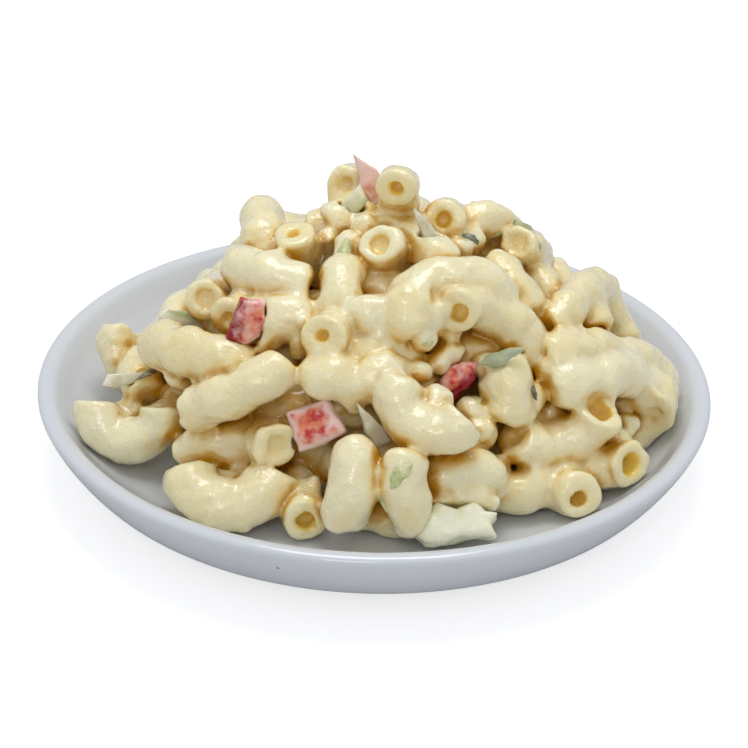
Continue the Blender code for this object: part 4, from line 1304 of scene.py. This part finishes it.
def pasta_look():
    """Straw to cream, with painted amber shade in the crevices and a painted yellow glow in the holes."""
    look, tree, shader = principled("dressed_pasta", srgb(232, 219, 170), 0.3)
    straw = mixed(tree, stored(tree, "tone"), srgb(244, 229, 177), srgb(248, 237, 197))
    patches = ranged(tree, noise(tree, place_of(tree), 5.0, 3.0), 0.42, 0.66)
    coat = math_of(tree, "MAXIMUM", stored(tree, "dressing"), math_of(tree, "MULTIPLY", patches, 0.35))
    creamy = mixed(tree, coat, straw, srgb(247, 239, 208))
    painted_shade_value = stored(tree, "painted_shade")
    # painted shade: a deeper straw on the sides that face other noodles, then amber in the crevices
    side_shade_colour = mixed(tree, ranged(tree, painted_shade_value, 0.10, 0.55), creamy, srgb(238, 213, 144))
    crevice_shade_colour = mixed(tree, ranged(tree, painted_shade_value, 0.38, 0.86), side_shade_colour, srgb(204, 150, 34))
    fill(tree, shader, {
        # painted glow: the bright yellow in the holes stands in for light shining through the tube wall
        "Base Color": mixed(tree, stored(tree, "hollow"), crevice_shade_colour, srgb(255, 222, 112)),
        "Coat Weight": 0.6,
        "Coat Roughness": 0.10,
        **wet_film(tree, 1.8, 0.40, 0.12, 0.28),
        **lit_through(0.5, 2.4, 2.0, 1.0),
    })
    return look


heap_mesh.materials.append(pasta_look())
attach(heap, "root")
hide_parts("macaroni_heap")
print("heap box in mm:", [round(value / MM, 1) for value in heap.dimensions])

# %% [markdown]
# ## Cut vegetables
#
# A knife leaves flat faces and corners, so each piece has an outline of its own: a few corners, given
# along and across the piece, where 1 is its end or its side. A cube with many faces becomes the piece: its
# rings of corners are drawn out to the outline, and its top and bottom follow the same bow and taper as in
# the frame. A Boolean or a Bevel on an extruded outline would do too, but the corners have to be dense for
# what comes next: noise that makes the cut faces uneven moves them directly, where a texture would only
# shade them.

# %% Shape a slab
SLAB_CUTS = 23
EDGE_ROUNDING = 5.0  # the higher, the sharper the edge round a face
RIPPLES = 10  # how many waves make a piece's surface uneven
RIPPLE_PACE = 1.4  # how many radians the fastest of them turn in a mm
OUTLINES = {
    "red_pepper_left": [(-1, -0.4), (-0.95, 0.8), (-0.1, 1), (0.6, 0.8), (1, 0), (0.9, -0.95), (0.05, -0.7)],
    "red_pepper_front": [
        (-1, 0.5), (-0.2, 0.75), (0.36, 1), (0.7, 0.4), (1, -0.37), (0.2, -0.8), (-0.7, -0.95),
    ],
    "red_pepper_right": [(-1, 0), (-0.6, 0.6), (0.1, 0.95), (0.7, 0.8), (1, 0.1), (0.6, -0.7), (-0.5, -0.8)],
    "red_pepper_top": [(-1, 0), (-0.6, 0.4), (0.2, 0.8), (0.9, 1), (1, 0.2), (0.9, -0.7), (0.2, -0.75)],
    "red_pepper_strip": [(-1, -0.4), (-0.8, 0.6), (0.2, 0.9), (1, 0.3), (0.8, -0.7), (0, -0.4)],
    "onion_top": [(-1, -0.6), (-0.9, 0.8), (0, 0.7), (0.9, 0.2), (1, -0.1), (0, -0.8)],
    "onion_left": [(-1, -0.4), (-0.8, 0.6), (0.3, 0.4), (1, 0.9), (0.95, 0.3), (0.3, -0.5), (-0.6, -0.9)],
    "onion_centre": [(-1, -0.8), (-0.9, 0.5), (-0.2, 0.8), (0.5, 0.4), (1, 0), (0.4, -0.5), (-0.3, -0.9)],
    "celery_left": [(-1, -0.3), (-0.7, 0.7), (0.1, 1), (0.9, 0.5), (1, -0.5), (0.3, -0.9), (-0.6, -0.8)],
    "celery_front": [
        (-1, -0.5), (-0.95, 0.4), (-0.45, 0.95), (0, 0.62), (0.45, 1), (0.7, 0.5), (1, 0.4),
        (0.82, -0.1), (0.9, -0.85), (0.2, -0.75), (-0.3, -1), (-0.8, -0.9),
    ],
    "celery_top": [(-1, -0.4), (-0.7, 0.7), (-0.1, 0.6), (0.4, 1), (1, 0.5), (0.8, -0.6), (0.1, -0.8)],
    "celery_right": [(-1, 0.2), (-0.4, 0.9), (0.4, 0.7), (1, 0.1), (0.5, -0.6), (-0.5, -0.8)],
    "celery_back": [(-1, -0.5), (-0.8, 0.7), (0.2, 1), (1, 0.6), (0.8, -0.8), (-0.3, -0.9)],
    "celery_shoulder": [(-1, 0), (-0.6, 0.9), (0.5, 0.8), (1, 0), (0.5, -0.8), (-0.6, -0.8)],
}


def outline_reach(outline, angles):
    """How far an outline's edge is from its middle in each direction."""
    corners = np.array(outline)
    nearest = np.full(len(angles), np.inf)
    ways = np.stack((np.cos(angles), np.sin(angles)), axis=1)
    for corner, following in zip(corners, np.roll(corners, -1, axis=0)):
        edge = following - corner
        facing = ways[:, 0] * edge[1] - ways[:, 1] * edge[0]
        facing = np.where(np.abs(facing) < 1e-9, 1e-9, facing)
        reach = (corner[0] * edge[1] - corner[1] * edge[0]) / facing
        place = (corner[0] * ways[:, 1] - corner[1] * ways[:, 0]) / facing
        hit = (reach > 0.0) & (place >= -1e-6) & (place <= 1.0 + 1e-6)
        nearest = np.where(hit, np.minimum(nearest, reach), nearest)
    return np.where(np.isfinite(nearest), nearest, 0.5)


def slab_mesh(row, roughen, seed):
    """A cut piece's mesh, with where each corner lies on it: along, across and above, each from -1 to 1."""
    name, _, x, y, z, heading, pitch, roll, length, width, thickness, narrow, bow_ends, bow_sides = row
    run, face = (np.array(way) for way in run_and_outward(heading, pitch, roll))
    side = np.cross(face, run)
    bm = bmesh.new()
    bmesh.ops.create_cube(bm, size=2.0)
    bmesh.ops.subdivide_edges(bm, edges=bm.edges, cuts=SLAB_CUTS, use_grid_fill=True)
    mesh = bpy.data.meshes.new(name)
    bm.to_mesh(mesh)
    bm.free()
    cube = corners_of(mesh) * MM
    ring = np.maximum(np.abs(cube[:, 0]), np.abs(cube[:, 1]))
    way = np.arctan2(cube[:, 1], cube[:, 0])
    # the two powers round the edge between a face and the sides off
    shrink = (ring ** EDGE_ROUNDING + np.abs(cube[:, 2]) ** EDGE_ROUNDING) ** (-1.0 / EDGE_ROUNDING)
    out = ring * shrink * outline_reach(OUTLINES[name], way)
    s, t, a = out * np.cos(way), out * np.sin(way), cube[:, 2] * shrink
    half_width = 0.5 * width * (1.0 - narrow * (s + 1.0) / 2.0)
    lift = 0.5 * thickness * a - bow_ends * s * s - bow_sides * t * t
    draw = np.random.default_rng(seed)
    waves = draw.uniform(-1.0, 1.0, (RIPPLES, 3)) * np.array((length, width, thickness)) * 0.5 * RIPPLE_PACE
    phases = draw.uniform(0.0, 2.0 * math.pi, RIPPLES)
    ripple = np.sin(np.stack((s, t, a), axis=1) @ waves.T + phases).mean(axis=1) * roughen
    corners = np.array((x, y, z)) + np.outer(0.5 * length * s, run) + np.outer(half_width * t, side)
    corners += np.outer(lift, face)
    away = corners - corners.mean(axis=0)
    corners += away / np.linalg.norm(away, axis=1)[:, None] * ripple[:, None]
    mesh.vertices.foreach_set("co", (corners * MM).astype(np.float32).ravel())
    for label, values in (("along", s), ("across", t), ("above", a), ("ring", ring)):
        store(mesh, label, values)
    mesh.update()
    return mesh


print("slab has", 6 * (SLAB_CUTS + 1) ** 2, "faces")

# %% [markdown]
# ## Pepper, onion and celery
#
# Red pepper has a deep red skin on a paler flesh, pink where dressing has soaked in. Onion is clear to
# white with darker edges, celery a pale watery green. Each is a Principled shader with its colour led by
# the values on the slab and by noise.

# %% Colour the vegetables
def pepper_look():
    """Pale red flesh with veins, under a deep red skin, clouded by dressing."""
    look, tree, shader = principled("red_pepper", srgb(200, 70, 70), 0.3)
    place = place_of(tree)
    veins = ranged(tree, noise(tree, place, 2.2, 3.0), 0.42, 0.58)
    flesh = mixed(tree, veins, srgb(240, 142, 104), srgb(204, 52, 48))
    skin = ranged(tree, math_of(tree, "ADD", stored(tree, "skin"), noise(tree, place, 3.5)), 0.74, 1.04)
    red = mixed(tree, skin, flesh, srgb(150, 12, 40))
    veil = ranged(tree, math_of(tree, "ADD", stored(tree, "veil"), noise(tree, place, 2.8, 3.0)), 0.82, 1.12)
    fill(tree, shader, {
        "Base Color": mixed(tree, veil, red, srgb(248, 212, 202)),
        **wet_film(tree, 1.6, 0.12, 0.18, 0.35),
        **lit_through(0.25, 2.5, 1.0, 0.8),
    })
    return look


def onion_look():
    """Clear to white in streaks, with dark edges."""
    look, tree, shader = principled("onion", srgb(226, 224, 205), 0.25)
    streaks = ranged(tree, noise(tree, place_of(tree), 3.0, 2.0), 0.4, 0.65)
    flesh = mixed(tree, streaks, srgb(240, 236, 212), srgb(216, 212, 184))
    edged = mixed(tree, ranged(tree, stored(tree, "skin"), 0.5, 0.8), flesh, srgb(112, 108, 84))
    fill(tree, shader, {
        "Base Color": mixed(tree, stored(tree, "dull"), edged, srgb(176, 172, 146)),
        **wet_film(tree, 1.8, 0.08, 0.15, 0.3),
        **lit_through(0.3, 2.0, 2.0, 1.6),
    })
    return look


def celery_look():
    """Pale green in patches, with greener edges."""
    look, tree, shader = principled("celery", srgb(205, 212, 160), 0.3)
    patches = ranged(tree, noise(tree, place_of(tree), 3.4, 3.0), 0.46, 0.66)
    flesh = mixed(tree, patches, srgb(252, 249, 222), srgb(236, 238, 194))
    green = mixed(tree, ranged(tree, stored(tree, "skin"), 0.45, 0.8), flesh, srgb(184, 194, 136))
    fill(tree, shader, {
        "Base Color": mixed(tree, stored(tree, "dull"), green, srgb(150, 156, 122)),
        **wet_film(tree, 2.0, 0.14, 0.2, 0.36),
        **lit_through(0.3, 2.0, 2.2, 1.2),
    })
    return look


LOOKS = {"pepper": pepper_look(), "onion": onion_look(), "celery": celery_look()}
print("vegetable finishes:", ", ".join(LOOKS))

# %% [markdown]
# ## Place the vegetables
#
# Each piece takes its node's place. Where its skin is depends on how it was cut and lies, so it is
# listed: one of the slab's three ways and the side along it. The veil is how much dressing clouds it, in
# its middle and at its edges.

# %% Place them
SKIN_SIDES = {  # way, side, and the veil in the middle and at the edges
    "red_pepper_left": ("across", -1.0, 0.42, 0.50),
    "red_pepper_front": ("above", -1.0, 0.33, 0.86),
    "red_pepper_right": ("across", -1.0, 0.36, 0.46),
    "red_pepper_top": ("above", -1.0, 0.62, 0.70),
    "red_pepper_strip": ("along", 1.0, 0.50, 0.60),
    "onion_left": ("along", 1.0, 0.0, 0.0),
    "celery_front": ("above", -1.0, 0.0, 0.0),
}
DULL = {  # how far each piece's colour goes toward a darker, greyer one
    "celery_left": 0.45, "celery_top": 0.15, "celery_right": 0.75, "celery_back": 0.3,
    "celery_shoulder": 0.6, "onion_centre": 0.2,
}
SKIN_SPREAD = 0.35  # how far past a piece's middle its skin's colour fades out
SKIN_CLEAR = 0.5  # how much less the dressing clouds the skin
VEIL_EDGE = 5  # the higher, the nearer the edges' veil keeps to them
PIECE_SEED = 100
PLAIN_SIDE = ("across", 1.0, 0.0, 0.0)
ROUGHEN = {"pepper": 0.9, "onion": 0.6, "celery": 0.8}

for order, row in enumerate(PIECES):
    name, kind = row[:2]
    mesh = slab_mesh(row, ROUGHEN[kind], PIECE_SEED + order)
    way, side, middle_veil, edge_veil = SKIN_SIDES.get(name, PLAIN_SIDE)
    skin = np.clip((read(mesh, way) * side + SKIN_SPREAD) / (1.0 + SKIN_SPREAD), 0.0, 1.0)
    store(mesh, "skin", skin)
    edge = read(mesh, "ring") ** VEIL_EDGE
    store(mesh, "veil", middle_veil + (edge_veil - middle_veil) * edge - SKIN_CLEAR * skin ** 2)
    store(mesh, "dull", np.full(len(mesh.vertices), DULL.get(name, 0.0)))
    piece = object_of(name + "_piece", mesh, LOOKS[kind])
    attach(piece, "root")
    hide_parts(name)
print(len(PIECES), "pieces placed")

# %% [markdown]
# ## Scraps in the dressing
#
# Thin scraps of celery leaf, green pepper and onion skin cling to the noodles. Each is a drop-shaped rag
# that follows whatever it lies on, so it is draped: rings of corners are laid out flat where the camera
# sees the scrap, each is dropped on the nearest place of the heap, and the top is raised a little more in
# the middle than at the edge. Painting them on the heap would be easier, but they have an edge that
# catches the light.

# %% Drape the scraps
GREEN_SCRAPS = [  # across and down in the picture, half length, half width, and turn in degrees
    (400, 475, 3, 1.5, 55), (383, 505, 2, 1.1, 60), (435, 527, 0.9, 0.6, 20), (432, 538, 0.7, 0.5, -40),
    (497, 235, 1.1, 0.7, 10), (540, 245, 0.9, 0.6, -30), (345, 250, 2.4, 1.5, 70),
    (322, 262, 1.4, 1, 20), (181, 319, 2.6, 1.2, -30), (500, 362, 1.6, 0.9, 35),
    (478, 399, 1.3, 0.9, 80), (428, 344, 1.2, 0.8, 0),
]
DARK_SCRAPS = [
    (533, 392, 1.7, 1.1, -60), (471, 238, 1.9, 0.9, -25), (144, 376, 1.9, 0.5, 30),
    (520, 352, 1.3, 0.5, 40),
]
SCRAP_RINGS = 5
SCRAP_SPOKES = 28
SCRAP_RAISE = (0.10, 0.26)  # at the edge and in the middle
SCRAP_SINK = 0.3  # of its under side
SCRAP_LOBES = ((2, 0.14), (3, 0.18), (7, 0.08))  # how many lobes of a kind the edge has, and their reach

heap_tree = BVHTree.FromPolygons(
    [corner.co / MM for corner in heap_mesh.vertices], [list(face.vertices) for face in heap_mesh.polygons]
)


def scrap_corners(row, draw):
    """The corners of a scrap's top, ring by ring from its middle, and of its under side, in mm."""
    across, down, half_length, half_width, turn = row
    centre, normal, _, _ = heap_tree.ray_cast(Vector(view_from), Vector(sight(across, down)))
    if centre is None:
        centre, normal, _, _ = heap_tree.find_nearest(Vector(at_lift(across, down, 0.0)))
    angle = math.radians(turn)
    along = Vector(math.cos(angle) * view_right + math.sin(angle) * view_up)
    along = (along - along.dot(normal) * normal).normalized()
    side = normal.cross(along)
    phases = [draw.uniform(0.0, 2.0 * math.pi) for _ in SCRAP_LOBES]
    top, under = [], []
    for ring in range(SCRAP_RINGS + 1):
        reach = ring / SCRAP_RINGS
        for spoke in range(SCRAP_SPOKES if ring else 1):
            way = 2.0 * math.pi * spoke / SCRAP_SPOKES
            lobes = [size * math.sin(lobe * way + phase) for (lobe, size), phase in zip(SCRAP_LOBES, phases)]
            out = reach * (1.0 + sum(lobes))
            flat = centre + out * (half_length * math.cos(way) * along + half_width * math.sin(way) * side)
            place, facing_out, _, _ = heap_tree.find_nearest(flat)
            raised = SCRAP_RAISE[0] + (SCRAP_RAISE[1] - SCRAP_RAISE[0]) * (1.0 - reach * reach)
            top.append(place + facing_out * raised)
            under.append(place - facing_out * SCRAP_SINK)
    return top, under


def scraps_mesh(name, rows, seed):
    """One mesh of all the scraps of a kind."""
    draw = random.Random(seed)
    corners, faces = [], []
    for row in rows:
        top, under = scrap_corners(row, draw)
        for side, flip in ((top, False), (under, True)):
            start = len(corners)
            corners += side
            for ring in range(SCRAP_RINGS):
                for spoke in range(SCRAP_SPOKES):
                    following = (spoke + 1) % SCRAP_SPOKES
                    outer = start + 1 + SCRAP_SPOKES * ring
                    inner = outer - SCRAP_SPOKES
                    face = [outer + spoke, outer + following]
                    face += [inner + following, inner + spoke] if ring else [start]
                    faces.append(face[::-1] if flip else face)
        under_rim = len(corners) - SCRAP_SPOKES
        rim = under_rim - len(under)
        for spoke in range(SCRAP_SPOKES):
            following = (spoke + 1) % SCRAP_SPOKES
            faces.append([rim + following, rim + spoke, under_rim + spoke, under_rim + following])
    mesh = bpy.data.meshes.new(name)
    mesh.from_pydata([tuple(corner * MM) for corner in corners], [], faces)
    return mesh


def scrap_look(name, pale, deep):
    """A wet scrap of two colours in patches."""
    look, tree, shader = principled(name, pale, 0.25)
    patches = ranged(tree, noise(tree, place_of(tree), 1.6, 3.0), 0.4, 0.6)
    colour = mixed(tree, patches, pale, deep)
    fill(tree, shader, {"Base Color": colour, **wet_film(tree, 1.2, 0.10, 0.12, 0.30)})
    return look


green_look = scrap_look("green_scrap", srgb(222, 223, 172), srgb(186, 196, 130))
dark_look = scrap_look("dark_scrap", srgb(150, 150, 126), srgb(96, 98, 78))
SCRAPS = (  # name, rows, seed, look and slot
    ("green_scraps", GREEN_SCRAPS, 61, green_look, "celery"),
    ("dark_scraps", DARK_SCRAPS, 62, dark_look, "onion"),
)
for name, rows, seed, look, slot in SCRAPS:
    scraps = object_of(name, scraps_mesh(name, rows, seed), look)
    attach(scraps, "root")
    print(name, "has", len(scraps.data.polygons), "faces")
